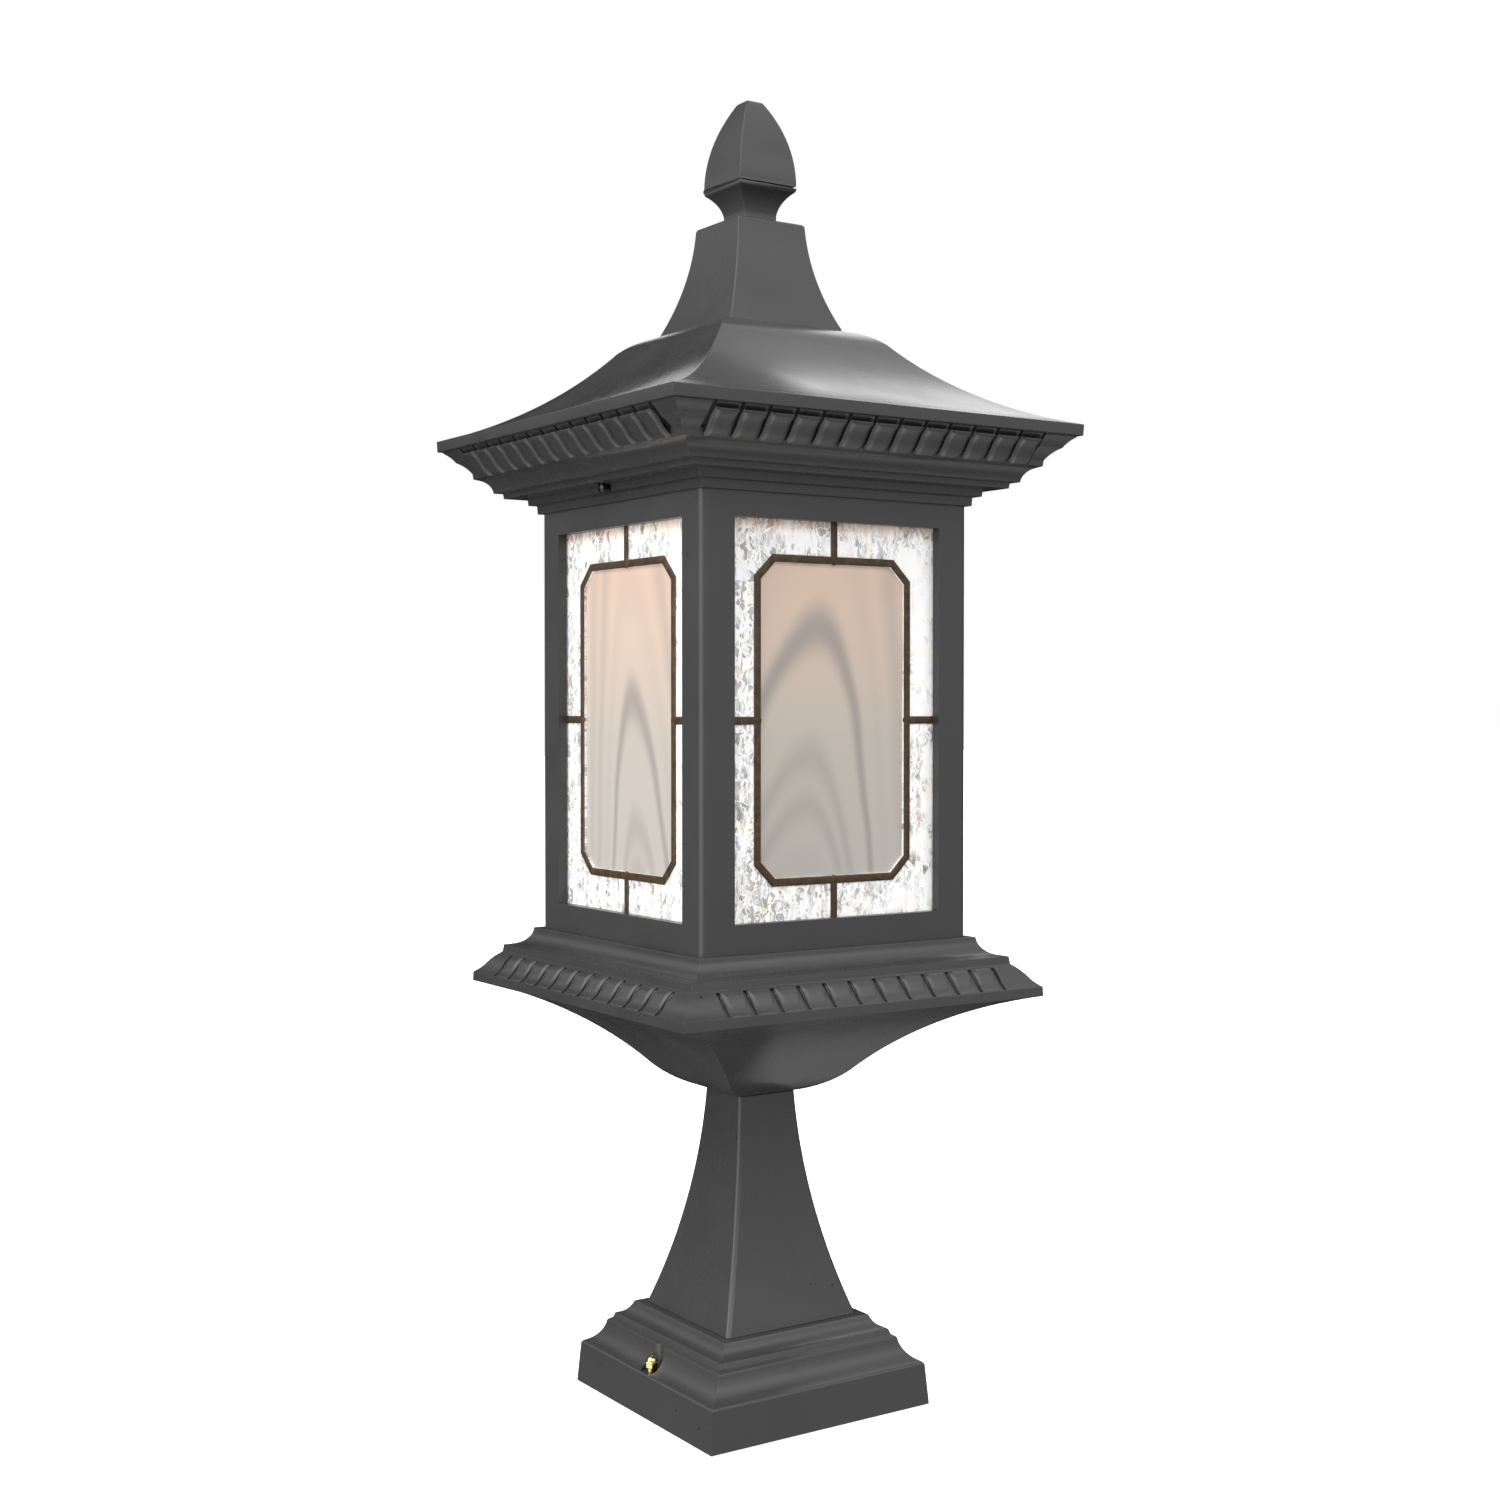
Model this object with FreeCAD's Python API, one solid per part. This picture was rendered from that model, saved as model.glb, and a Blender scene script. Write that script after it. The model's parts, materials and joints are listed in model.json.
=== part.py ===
"""Pier-mount lantern: cast aluminium housing, leaded glass panels, lift-off roof.

Millimetres. +Z is up, the origin is the centre of the base's underside, and the
front panel faces -Y. Every casting is square in plan, so its outline is given
once as half-width against height and is swept round all four sides.
"""
import FreeCAD, Part
import math
import os

V = FreeCAD.Vector
Z_AXIS = V(0, 0, 1)
ORIGIN = V(0, 0, 0)

# ---------------------------------------------------------------- driving sizes
# Base casting. Its steps stand out from the stem's foot.
STEM_FOOT_W = 90.0
BASE_SEAT_OUT = 5.0       # stem's foot to the edge of the top plate
BASE_STEP_OUT = 9.0       # top plate to the fillet between the two coves
PLINTH_OUT = 16.2         # fillet to the plinth's lower edge
PLINTH_H = 24.0
PLINTH_DRAFT = 1.8        # the plinth narrows by this much on each side
PLINTH_WALL = 3.0
BASE_MOULD_H = 26.4       # plinth to the seat of the stem
BASE_WEB = 5.4            # thickness of the top web

# Stem, a square column that flares in a hollow curve.
STEM_H = 130.1
STEM_TOP_W = 38.6
STEM_HOLLOW = 4.6         # depth of the curve between foot and top
STEM_CHAMFER = 2.4        # width of the flat on each corner

# Bowl, an upside-down roof under the cage.
BOWL_H = 59.3
BOWL_SHOULDER_W = 85.8
BOWL_SHOULDER_H = 13.1
BOWL_HOLLOW = 7.1
BOWL_ROUND = 2.0

# Tray, the lower cornice that carries the cage.
TRAY_H = 33.2
TRAY_FASCIA_H = 5.4
TRAY_OUT = 31.4           # cage wall to the tray's and the bowl's edge
TRAY_LEDGE = 4.2          # how far the top ledge stands out from the cage
TRAY_FLOOR = 5.5

# Cage, the four-post body with its windows.
CAGE_W = 180.0
CAGE_H = 248.0            # tray to the underside of the roof skirt
CAGE_WALL = 5.5
CAGE_CORNER_R = 4.0
CAGE_NECK_IN = 2.0        # the spigot under the roof skirt is this much inside the wall
CAGE_NECK_H = 12.0
STILE_W = 20.5            # cage's edge to the window, each side
WINDOW_SILL = 16.0        # tray to the window's lower edge
WINDOW_HEAD = 13.7        # window's upper edge to the roof skirt
POST_W = 8.0              # solid post inside each corner

# Leaded panels.
PANEL_LAP = 4.8           # how far a panel reaches behind the window's edge
GLASS_T = 3.0
CAME_W = 3.5              # visible width of the lead strip
CAME_FLANGE = 0.6
CAME_HEART = 1.2
BORDER_W = 16.7           # window's edge to the octagon, at the sides
BORDER_H = 19.15          # and at the top and bottom
OCTAGON_CUT = 10.3
GLASS_GAP = 0.1

# Roof cornice, lower roof tier, spire and finial.
SKIRT_GAP = 0.3           # clearance between the skirt and the cage neck
ROOF_OUT = 47.0           # cage wall to the eave
CORNICE_H = 38.6
ROOF_FASCIA_H = 6.4
ROOF_H = 64.0             # underside of the eave to the spire's seat
ROOF_SHOULDER_W = 114.6
ROOF_SHOULDER_H = 8.7
ROOF_HOLLOW = 7.1
ROOF_ROUND = 1.3
SPIRE_H = 62.9
SPIRE_FOOT_W = 78.2
SPIRE_TOP_W = 46.4
SPIRE_HOLLOW = 3.0
FINIAL_H = 72.0
FINIAL_NECK_W = 22.4
FINIAL_W = 39.2
FINIAL_TIP_W = 11.2
FINIAL_NECK_H = 5.5
FINIAL_FLARE_H = 13.5
FINIAL_ROUND = 3.7
FINIAL_GRIP = 34.0        # how far the tie rod runs up into the finial

# Castings and their carved bands.
CAST_WALL = 3.6
BEAD_PITCH = 16.9
BEAD_GROOVE_W = 2.4
BEAD_GROOVE_D = 1.9
BEAD_MARGIN = 10.0        # least width of the plain block at each corner

# Tubes, rods and fasteners.
TUBE_R = 6.5
TUBE_BORE_R = 4.7
TUBE_NUT_AF = 19.0
TUBE_NUT_H = 6.0
WASHER_T = 1.5
SLEEVE_R = 15.0
SLEEVE_WALL = 1.5
ROD_R = 3.0
ROD_NUT_AF = 10.0
ROD_NUT_H = 5.0
TIE_BAR_W = 22.0
TIE_BAR_T = 4.0
HOLE_GAP = 0.2            # clearance hole round a fastener, on the radius
RUN_GAP = 0.06            # running clearance of a moving piece, on the radius
STUD_IN = 7.7             # plinth's lower edge to the studs' axis
STUD_R = 2.0
STUD_TOP = 31.0
STRAP_W = 25.0
STRAP_T = 3.0
STRAP_GAP = 0.5
OUTLET_SPACING = 88.9     # screw spacing of a round outlet box
OUTLET_SLOT_L = 12.0
OUTLET_SLOT_R = 2.5
WIRE_HOLE_R = 11.0
POCKET_R = 6.8
CAP_NUT_AF = 7.0
ROOF_SCREW_R = 2.0
ROOF_SCREW_PROUD = 5.0
ROOF_SCREW_BACK = 1.1     # the roof screws stand a turn and a half off the cage's neck
SMALL_SCREW_R = 1.7
SMALL_HEAD_R = 3.2
SMALL_HEAD_H = 2.4

# Lamp and lampholder.
SLEEVE_H = 93.0           # tray to the lampholder's seat
SOCKET_R = 22.0
SOCKET_H = 48.0
SOCKET_BORE_R = 14.0
SHELL_T = 0.5
LAMP_CAP_R = 13.2
LAMP_CAP_H = 22.0
LAMP_R = 30.0
LAMP_LEN = 90.0           # glass envelope, cap to crown
LAMP_WALL = 1.2
LEAD_R = 1.2
LEAD_X = 1.9
LEAD_BEND_R = 8.0
SOCKET_CUP_T = 1.2
TERMINAL_H = 13.0
TERMINAL_Y = 24.0         # centre line to the point where the leads enter the block
GROUND_X = 25.0           # centre line to the ground screw

# ---------------------------------------------------------------- heights
BASE_H = PLINTH_H + BASE_MOULD_H
STEM_Z = BASE_H
BOWL_Z = STEM_Z + STEM_H
TRAY_Z = BOWL_Z + BOWL_H
CAGE_Z = TRAY_Z + TRAY_H
SKIRT_Z = CAGE_Z + CAGE_H
EAVE_Z = SKIRT_Z + CORNICE_H
SPIRE_Z = EAVE_Z + ROOF_H
FINIAL_Z = SPIRE_Z + SPIRE_H
SOCKET_Z = CAGE_Z + SLEEVE_H

# ---------------------------------------------------------------- widths, from the centre line
SEAT_R = STEM_FOOT_W / 2 + BASE_SEAT_OUT
STEP_R = SEAT_R + BASE_STEP_OUT
PLINTH_R = STEP_R + PLINTH_OUT
STUD_X = PLINTH_R - STUD_IN
CAGE_R = CAGE_W / 2
NECK_R = CAGE_R - CAGE_NECK_IN
BOWL_R = CAGE_R + TRAY_OUT
ROOF_R = CAGE_R + ROOF_OUT
WINDOW_W = CAGE_W - 2 * STILE_W
WINDOW_H = CAGE_H - WINDOW_SILL - WINDOW_HEAD
WINDOW_Z = CAGE_Z + WINDOW_SILL + WINDOW_H / 2
OCTAGON_W = WINDOW_W - 2 * BORDER_W
OCTAGON_H = WINDOW_H - 2 * BORDER_H
SIDES = {"front": 0, "right": 90, "rear": 180, "left": 270}


# ---------------------------------------------------------------- helpers
def export(name, shape):
    shape.exportStep("parts/" + name + ".step")


def box(x0, y0, z0, x1, y1, z1):
    return Part.makeBox(x1 - x0, y1 - y0, z1 - z0, V(x0, y0, z0))


def slab(half, z0, z1):
    return box(-half, -half, z0, half, half, z1)


def rod(r, z0, z1, x=0, y=0):
    return Part.makeCylinder(r, z1 - z0, V(x, y, z0))


def hexagon(across_flats, z0, z1, x=0, y=0):
    r = across_flats / math.sqrt(3)
    ring = [V(x + r * math.cos(a), y + r * math.sin(a), z0)
            for a in (math.radians(60 * i) for i in range(7))]
    return Part.Face(Part.makePolygon(ring)).extrude(V(0, 0, z1 - z0))


def turned(shape, degrees):
    copy = shape.copy()
    copy.rotate(ORIGIN, Z_AXIS, degrees)
    return copy


def all_round(shape):
    """The shape at each of the four sides."""
    return [turned(shape, angle) for angle in SIDES.values()]


def corners(x, y=None):
    y = x if y is None else y
    return [(sx * x, sy * y) for sx in (-1, 1) for sy in (-1, 1)]


def arc(a, b, bulge):
    """Three points from a to b; the middle one stands off the chord by bulge, to its right."""
    dw, dz = b[0] - a[0], b[1] - a[1]
    chord = math.hypot(dw, dz)
    middle = ((a[0] + b[0]) / 2 + bulge * dz / chord, (a[1] + b[1]) / 2 - bulge * dw / chord)
    return [a, middle, b]


def dome(r, z, rise):
    """Quarter outline of a round cap from (r, z) up to the axis; its centre is on the axis."""
    radius = (r * r + rise * rise) / (2 * rise)
    centre = z + rise - radius
    half_angle = math.atan2(r, z - centre) / 2
    middle = (radius * math.sin(half_angle), centre + radius * math.cos(half_angle))
    return [(r, z), middle, (0, z + rise)]


def offset(curve, distance):
    """A three-point arc moved to its left by distance."""
    a, middle, b = (V(w, z, 0) for w, z in curve)
    circle = Part.Arc(a, middle, b).toShape().Curve
    towards = 1 if (b - a).cross(middle - a).z > 0 else -1
    moved = []
    for point in (a, middle, b):
        spoke = point - circle.Center
        spoke.Length = circle.Radius + towards * distance
        moved.append((circle.Center.x + spoke.x, circle.Center.y + spoke.y))
    return moved


def edges_of(outline, side):
    """Edges of an outline: a lone point is a corner, a list of three points is an arc."""
    made = []
    last = None
    for item in outline:
        curve = item if isinstance(item, list) else None
        start = curve[0] if curve else item
        if last and (abs(last[0] - start[0]) > 1e-6 or abs(last[1] - start[1]) > 1e-6):
            made.append(Part.makeLine(V(side * last[0], 0, last[1]), V(side * start[0], 0, start[1])))
        if curve:
            points = [V(side * w, 0, z) for w, z in curve]
            made.append(Part.Arc(*points).toShape())
        last = curve[-1] if curve else item
    return made


def first_point(outline):
    return outline[0][0] if isinstance(outline[0], list) else outline[0]


def last_point(outline):
    return outline[-1][-1] if isinstance(outline[-1], list) else outline[-1]


def square_solid(outline, angle=0):
    """Solid with a square plan whose half-width follows the outline, given from below upwards."""
    foot, top = first_point(outline), last_point(outline)
    edges = edges_of(outline, 1) + edges_of(outline, -1)
    edges.append(Part.makeLine(V(-foot[0], 0, foot[1]), V(foot[0], 0, foot[1])))
    edges.append(Part.makeLine(V(-top[0], 0, top[1]), V(top[0], 0, top[1])))
    face = Part.Face(Part.Wire(Part.__sortEdges__(edges)))
    reach = 400
    bar = face.extrude(V(0, reach, 0))
    bar.translate(V(0, -reach / 2, 0))
    solid = bar.common(turned(bar, 90))
    return turned(solid, angle) if angle else solid


def lathe(outline, x=0, y=0):
    """Solid of revolution from (radius, height) points and arcs, about a vertical axis."""
    closed = outline + [outline[0] if not isinstance(outline[0], list) else outline[0][0]]
    face = Part.Face(Part.Wire(Part.__sortEdges__(edges_of(closed, 1))))
    solid = face.revolve(ORIGIN, Z_AXIS, 360)
    if solid.Volume < 0:
        solid.reverse()
    solid.translate(V(x, y, 0))
    return solid


def cut(shape, *tools):
    return shape.cut(list(tools)) if tools else shape


def join(shape, *others):
    return shape.fuse(list(others)).removeSplitter()


def group(shapes):
    return Part.makeCompound(shapes)


def bead_grooves(inner, outer, end_gap, start_gap):
    """Slots across a sloping carved band, evenly spaced between plain corner blocks."""
    dw, dz = outer[0] - inner[0], outer[1] - inner[1]
    length = math.hypot(dw, dz)
    along = (dw / length, dz / length)
    out = (abs(along[1]), -along[0] if along[1] > 0 else along[0])

    def place(base, run, stand):
        return V(-(base[0] + along[0] * run + out[0] * stand), 0, base[1] + along[1] * run + out[1] * stand)

    ring = [place(inner, start_gap, -BEAD_GROOVE_D), place(inner, start_gap, 6),
            place(outer, end_gap, 6), place(outer, end_gap, -BEAD_GROOVE_D)]
    face = Part.Face(Part.makePolygon(ring + ring[:1]))
    slot = face.extrude(V(0, BEAD_GROOVE_W, 0))
    slot.translate(V(0, -BEAD_GROOVE_W / 2, 0))
    pairs = int((inner[0] - BEAD_MARGIN) / BEAD_PITCH + 0.5)
    slots = []
    for i in range(-pairs, pairs):
        copy = slot.copy()
        copy.translate(V(0, (i + 0.5) * BEAD_PITCH, 0))
        slots += all_round(copy)
    return slots


def pan_screw(x, y, seat, length, up=1):
    """Round-headed screw: the head is under its seat, the shank points up (or down)."""
    z0, z1 = sorted((seat, seat + up * length))
    h0, h1 = sorted((seat, seat - up * SMALL_HEAD_H))
    slot_z0, slot_z1 = sorted((seat - up * SMALL_HEAD_H, seat - up * (SMALL_HEAD_H - 1)))
    head = cut(rod(SMALL_HEAD_R, h0, h1, x, y), box(x - 4, y - 0.5, slot_z0, x + 4, y + 0.5, slot_z1))
    return join(head, rod(SMALL_SCREW_R, z0, z1, x, y))


# ---------------------------------------------------------------- base and pier fixing
def pier_base():
    ledge = PLINTH_R - PLINTH_DRAFT
    top = PLINTH_H
    outer = square_solid([
        (PLINTH_R, 0), (ledge, top - 0.8), (ledge - 0.8, top),
        arc((ledge - 0.9, top + 0.4), (STEP_R + 3.0, top + 13.5), -2.2),
        (STEP_R + 2.6, top + 14.2), (STEP_R + 0.3, top + 15.6), (STEP_R - 0.6, top + 18.2),
        arc((STEP_R - 0.9, top + 18.5), (SEAT_R + 0.6, BASE_H - 1.6), -1.2),
        (SEAT_R, BASE_H - 0.4), (SEAT_R - 0.4, BASE_H)])
    web_z = BASE_H - BASE_WEB
    cavity = square_solid([
        (PLINTH_R - PLINTH_WALL, 0), (ledge - PLINTH_WALL, top - 4.5), (STEP_R + 1.5, top - 4.5),
        (STEP_R - 2.5, top + 8), (SEAT_R - 3.5, web_z - 6), (SEAT_R - 4.5, web_z)])
    shell = cut(outer, cavity)
    bosses = [rod(POCKET_R + 2.8, PLINTH_H - 4.5, BASE_H - 8, x) for x in (-STUD_X, STUD_X)]
    shell = join(shell, *[boss.common(outer) for boss in bosses])
    pockets = [rod(POCKET_R, PLINTH_H, BASE_H, x) for x in (-STUD_X, STUD_X)]
    stud_holes = [rod(STUD_R + HOLE_GAP, 0, BASE_H, x) for x in (-STUD_X, STUD_X)]
    tube_hole = rod(TUBE_R + HOLE_GAP, 0, BASE_H + 10)
    key = slab(STEM_FOOT_W / 2 - CAST_WALL - 0.8, BASE_H, BASE_H + 2)
    screw_hole = rod(SMALL_SCREW_R, web_z, BASE_H - 1, 0, TERMINAL_Y + 6)
    return cut(join(shell, key), tube_hole, screw_hole, *pockets, *stud_holes)


def mounting_strap():
    half = PLINTH_R - PLINTH_WALL - STRAP_GAP
    strap = box(-half, -STRAP_W / 2, 0, half, STRAP_W / 2, STRAP_T)
    slots = []
    for x in (-OUTLET_SPACING / 2, OUTLET_SPACING / 2):
        run = OUTLET_SLOT_L / 2 - OUTLET_SLOT_R
        slots.append(box(x - run, -OUTLET_SLOT_R, 0, x + run, OUTLET_SLOT_R, STRAP_T))
        slots += [rod(OUTLET_SLOT_R, 0, STRAP_T, x + end) for end in (-run, run)]
    holes = [rod(STUD_R, 0, STRAP_T, x) for x in (-STUD_X, STUD_X)]
    holes += [rod(WIRE_HOLE_R, 0, STRAP_T), rod(SMALL_SCREW_R, 0, STRAP_T, GROUND_X)]
    return cut(strap, *slots, *holes)


def mounting_stud(x):
    return join(rod(STUD_R, 0, STUD_TOP - 0.5, x),
                Part.makeCone(STUD_R, STUD_R - 0.5, 0.5, V(x, 0, STUD_TOP - 0.5)))


def stud_nut(x):
    return cut(hexagon(CAP_NUT_AF, STRAP_T, STRAP_T + 3.2, x), rod(STUD_R, 0, 10, x))


def cap_nut(x):
    """Blind brass nut: a plain neck on the plinth ledge, a hexagon and a dome."""
    z = PLINTH_H
    neck = rod(2.9, z, z + 3, x)
    body = hexagon(CAP_NUT_AF, z + 3, z + 6.4, x)
    crown = lathe([(0, z + 6.4), (3.3, z + 6.4), dome(3.3, z + 6.8, 2.8)], x)
    return cut(join(neck, body, crown), rod(STUD_R + RUN_GAP, z, STUD_TOP + 0.3, x))


# ---------------------------------------------------------------- stem, bowl and tray
def stem_curve():
    return arc((STEM_FOOT_W / 2, STEM_Z), (STEM_TOP_W / 2, BOWL_Z), -STEM_HOLLOW)


def stem():
    side = stem_curve()
    diagonal = [(w * math.sqrt(2) - STEM_CHAMFER / 2, z) for w, z in side]
    outer = square_solid([side]).common(square_solid([diagonal], 45))
    inner = offset(side, CAST_WALL)
    web_z = BOWL_Z - 6
    cavity = square_solid([inner]).common(slab(100, STEM_Z, web_z))
    opening = slab(inner[0][0] - 0.1, STEM_Z - 5, STEM_Z + 3)
    return cut(outer, cavity, opening, rod(TUBE_R + HOLE_GAP, web_z - 5, BOWL_Z))


def bowl():
    rim = BOWL_R
    shoulder = (BOWL_SHOULDER_W / 2, BOWL_Z + BOWL_SHOULDER_H)
    belly = arc((STEM_TOP_W / 2, BOWL_Z), shoulder, BOWL_ROUND)
    sweep = arc(shoulder, (rim, TRAY_Z), -BOWL_HOLLOW)
    outer = square_solid([belly, sweep])
    inner = offset(sweep, CAST_WALL)
    floor_z = BOWL_Z + 7
    cavity = square_solid([(inner[0][0] - 8, floor_z), (inner[0][0] - 4, floor_z + 3), inner,
                           (inner[2][0], TRAY_Z + 10)])
    return cut(outer, cavity, rod(TUBE_R + HOLE_GAP, BOWL_Z, floor_z))


def tray_points():
    """Corner points of the tray's outline that its inside and its beads also use."""
    ledge = CAGE_R + TRAY_LEDGE
    fillet = (ledge + 13.8, CAGE_Z - 15.0)
    fascia = (BOWL_R - 0.2, TRAY_Z + TRAY_FASCIA_H)
    return ledge, fillet, fascia


def tray():
    rim = BOWL_R
    ledge, fillet, fascia = tray_points()
    mid = ((fillet[0] + 0.8 + fascia[0]) / 2, (fillet[1] - 0.7 + fascia[1]) / 2)
    outer = square_solid([
        (rim, TRAY_Z), fascia, arc(fascia, mid, -0.45), arc(mid, (fillet[0] + 0.8, fillet[1] - 0.7), 0.35),
        fillet, (fillet[0] - 0.6, fillet[1] + 4.2), (fillet[0] - 4.0, fillet[1] + 4.6),
        arc((fillet[0] - 4.2, fillet[1] + 4.8), (ledge, CAGE_Z - 1.8), -2.0),
        (ledge - 0.2, CAGE_Z - 0.3), (ledge - 0.5, CAGE_Z)])
    floor_z = CAGE_Z - TRAY_FLOOR
    cavity = square_solid([
        (rim - CAST_WALL - 1, TRAY_Z), (rim - CAST_WALL - 1, TRAY_Z + 2),
        (fillet[0] - 4, fillet[1] - 2), (fillet[0] - 5, fillet[1]),
        (ledge - 2, floor_z - 2), (ledge - 4, floor_z)])
    holes = [rod(SMALL_SCREW_R + HOLE_GAP, floor_z - 1, CAGE_Z, x, y) for x, y in corners(POST_X)]
    grooves = bead_grooves((fillet[0] + 0.8, fillet[1] - 0.7), fascia, -0.4, 0.6)
    return cut(outer, cavity, rod(TUBE_R + HOLE_GAP, floor_z - 1, CAGE_Z), *holes, *grooves)


# ---------------------------------------------------------------- cage
PANEL_FRONT = CAGE_R - CAGE_WALL
GLASS_FRONT = PANEL_FRONT - CAME_FLANGE
PANEL_T = GLASS_T + 2 * CAME_FLANGE
PANEL_BACK = PANEL_FRONT - PANEL_T
PANEL_X = WINDOW_W / 2 + PANEL_LAP
PANEL_Z = WINDOW_H / 2 + PANEL_LAP
POST_X = PANEL_FRONT - POST_W / 2
POST_IN = PANEL_FRONT - POST_W
CLIP_DEPTH = math.sqrt(2) * POST_IN - 1.0     # distance of the clip seat from the centre line
CLIP_T = 1.0
CLIP_LEVELS = (WINDOW_Z - WINDOW_H / 2 + 22, WINDOW_Z + WINDOW_H / 2 - 22)
SCREW_BORE_GAP = 0.05


def clip_hole(level):
    bore = Part.makeCylinder(SMALL_SCREW_R + SCREW_BORE_GAP, 5.5, V(CLIP_DEPTH, 0, level), V(1, 0, 0))
    return turned(bore, -45)


def cage():
    body = slab(CAGE_R, CAGE_Z, SKIRT_Z)
    posts = [e for e in body.Edges if e.Length > CAGE_H - 1]
    body = body.makeFillet(CAGE_CORNER_R, posts)
    neck = slab(NECK_R, SKIRT_Z, SKIRT_Z + CAGE_NECK_H)
    neck = neck.makeFillet(CAGE_CORNER_R - 1, [e for e in neck.Edges if abs(e.Length - CAGE_NECK_H) < 0.1])
    shell = join(body, neck)
    well = slab(PANEL_FRONT, CAGE_Z, SKIRT_Z)
    mouth = slab(NECK_R - CAST_WALL, SKIRT_Z, SKIRT_Z + CAGE_NECK_H)
    shell = cut(shell, well, mouth)
    post = box(POST_IN, -PANEL_FRONT, CAGE_Z, PANEL_FRONT, -POST_IN, SKIRT_Z)
    chamfer = turned(box(CLIP_DEPTH - 20, -10, CAGE_Z, CLIP_DEPTH, 10, SKIRT_Z), -45)
    post = cut(post, chamfer)
    sill_z = WINDOW_Z - PANEL_Z
    sill = cut(slab(PANEL_FRONT, CAGE_Z, sill_z), slab(PANEL_BACK - 1.5, CAGE_Z, sill_z))
    shell = join(shell, sill, *all_round(post))
    half_w, half_h = WINDOW_W / 2, WINDOW_H / 2
    window = box(-half_w, -CAGE_R - 1, WINDOW_Z - half_h, half_w, -PANEL_FRONT, WINDOW_Z + half_h)
    bores = [rod(SMALL_SCREW_R + SCREW_BORE_GAP, CAGE_Z, CAGE_Z + 20, x, y) for x, y in corners(POST_X)]
    clip_bores = [copy for level in CLIP_LEVELS for copy in all_round(clip_hole(level))]
    return cut(shell, *all_round(window), *bores, *clip_bores)


# ---------------------------------------------------------------- leaded panels
def panel_plate(shape_2d, front, back):
    """Extrude an outline drawn in X and Z between two depths behind the front face."""
    solid = shape_2d.extrude(V(0, front - back, 0))
    solid.translate(V(0, -front, 0))
    return solid


def octagon(inset):
    """Octagon face of the centre pane, moved in from the strip's outer edge."""
    hw, hh = OCTAGON_W / 2 - inset, OCTAGON_H / 2 - inset
    c = OCTAGON_CUT - inset * (2 - math.sqrt(2))
    ring = [(hw - c, hh), (hw, hh - c), (hw, c - hh), (hw - c, -hh),
            (c - hw, -hh), (-hw, c - hh), (-hw, hh - c), (c - hw, hh)]
    return Part.Face(Part.makePolygon([V(x, 0, WINDOW_Z + z) for x, z in ring + ring[:1]]))


def plate_face(hw, hh):
    ring = [(-hw, -hh), (hw, -hh), (hw, hh), (-hw, hh), (-hw, -hh)]
    return Part.Face(Part.makePolygon([V(x, 0, WINDOW_Z + z) for x, z in ring]))


def bar_faces(half):
    """Four stub bars from the octagon to the panel's edge."""
    inner_x, inner_z = OCTAGON_W / 2 - CAME_W / 2, OCTAGON_H / 2 - CAME_W / 2
    across = [(inner_x, -half, PANEL_X, half), (-PANEL_X, -half, -inner_x, half)]
    upright = [(-half, inner_z, half, PANEL_Z), (-half, -PANEL_Z, half, -inner_z)]
    faces = []
    for x0, z0, x1, z1 in across + upright:
        ring = [(x0, z0), (x1, z0), (x1, z1), (x0, z1), (x0, z0)]
        faces.append(Part.Face(Part.makePolygon([V(x, 0, WINDOW_Z + z) for x, z in ring])))
    return faces


def came():
    """H-section lead strip: octagon, four stubs and the border channel, soldered into one."""
    heart, flange = CAME_HEART / 2, CAME_W / 2
    layers = []
    for half, border, front, back in (
            (flange, PANEL_LAP - 0.2, PANEL_FRONT, GLASS_FRONT),
            (heart, CAME_HEART, GLASS_FRONT, GLASS_FRONT - GLASS_T),
            (flange, PANEL_LAP - 0.2, GLASS_FRONT - GLASS_T, PANEL_BACK)):
        ring = octagon(flange - half).cut(octagon(flange + half))
        frame = plate_face(PANEL_X, PANEL_Z).cut(plate_face(PANEL_X - border, PANEL_Z - border))
        net = ring.fuse([frame] + bar_faces(half))
        layers.append(panel_plate(net.removeSplitter(), front, back))
    return join(*layers)


def centre_glass():
    return panel_plate(octagon(CAME_W / 2 + CAME_HEART / 2 + GLASS_GAP), GLASS_FRONT, GLASS_FRONT - GLASS_T)


def border_glass():
    edge = CAME_HEART + GLASS_GAP
    back = GLASS_FRONT - GLASS_T
    sheet = panel_plate(plate_face(PANEL_X - edge, PANEL_Z - edge), GLASS_FRONT, back)
    hole = panel_plate(octagon(CAME_W / 2 - CAME_HEART / 2 - GLASS_GAP), GLASS_FRONT, back)
    gaps = [panel_plate(face, GLASS_FRONT, back) for face in bar_faces(CAME_HEART / 2 + GLASS_GAP)]
    return group(cut(sheet, hole, *gaps).Solids)


def corner_clip(level):
    """Flat spring clip across a corner: its ends press on the backs of two panels."""
    reach = CLIP_DEPTH + 20
    strip = turned(box(CLIP_DEPTH - CLIP_T, -20, level - 6, CLIP_DEPTH, 20, level + 6), -45)
    strip = strip.common(box(0, -PANEL_BACK, level - 10, PANEL_BACK, 0, level + 10))
    bore = Part.makeCylinder(SMALL_SCREW_R + HOLE_GAP, reach, V(CLIP_DEPTH - 10, 0, level), V(1, 0, 0))
    return cut(strip, turned(bore, -45))


def clip_screw(level):
    start = CLIP_DEPTH - CLIP_T
    head = Part.makeCylinder(SMALL_HEAD_R, 1.8, V(start - 1.8, 0, level), V(1, 0, 0))
    slot = box(start - 1.8, -0.5, level - 4, start - 1.0, 0.5, level + 4)
    shank = Part.makeCylinder(SMALL_SCREW_R, 6, V(start, 0, level), V(1, 0, 0))
    return turned(join(cut(head, slot), shank), -45)


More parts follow.
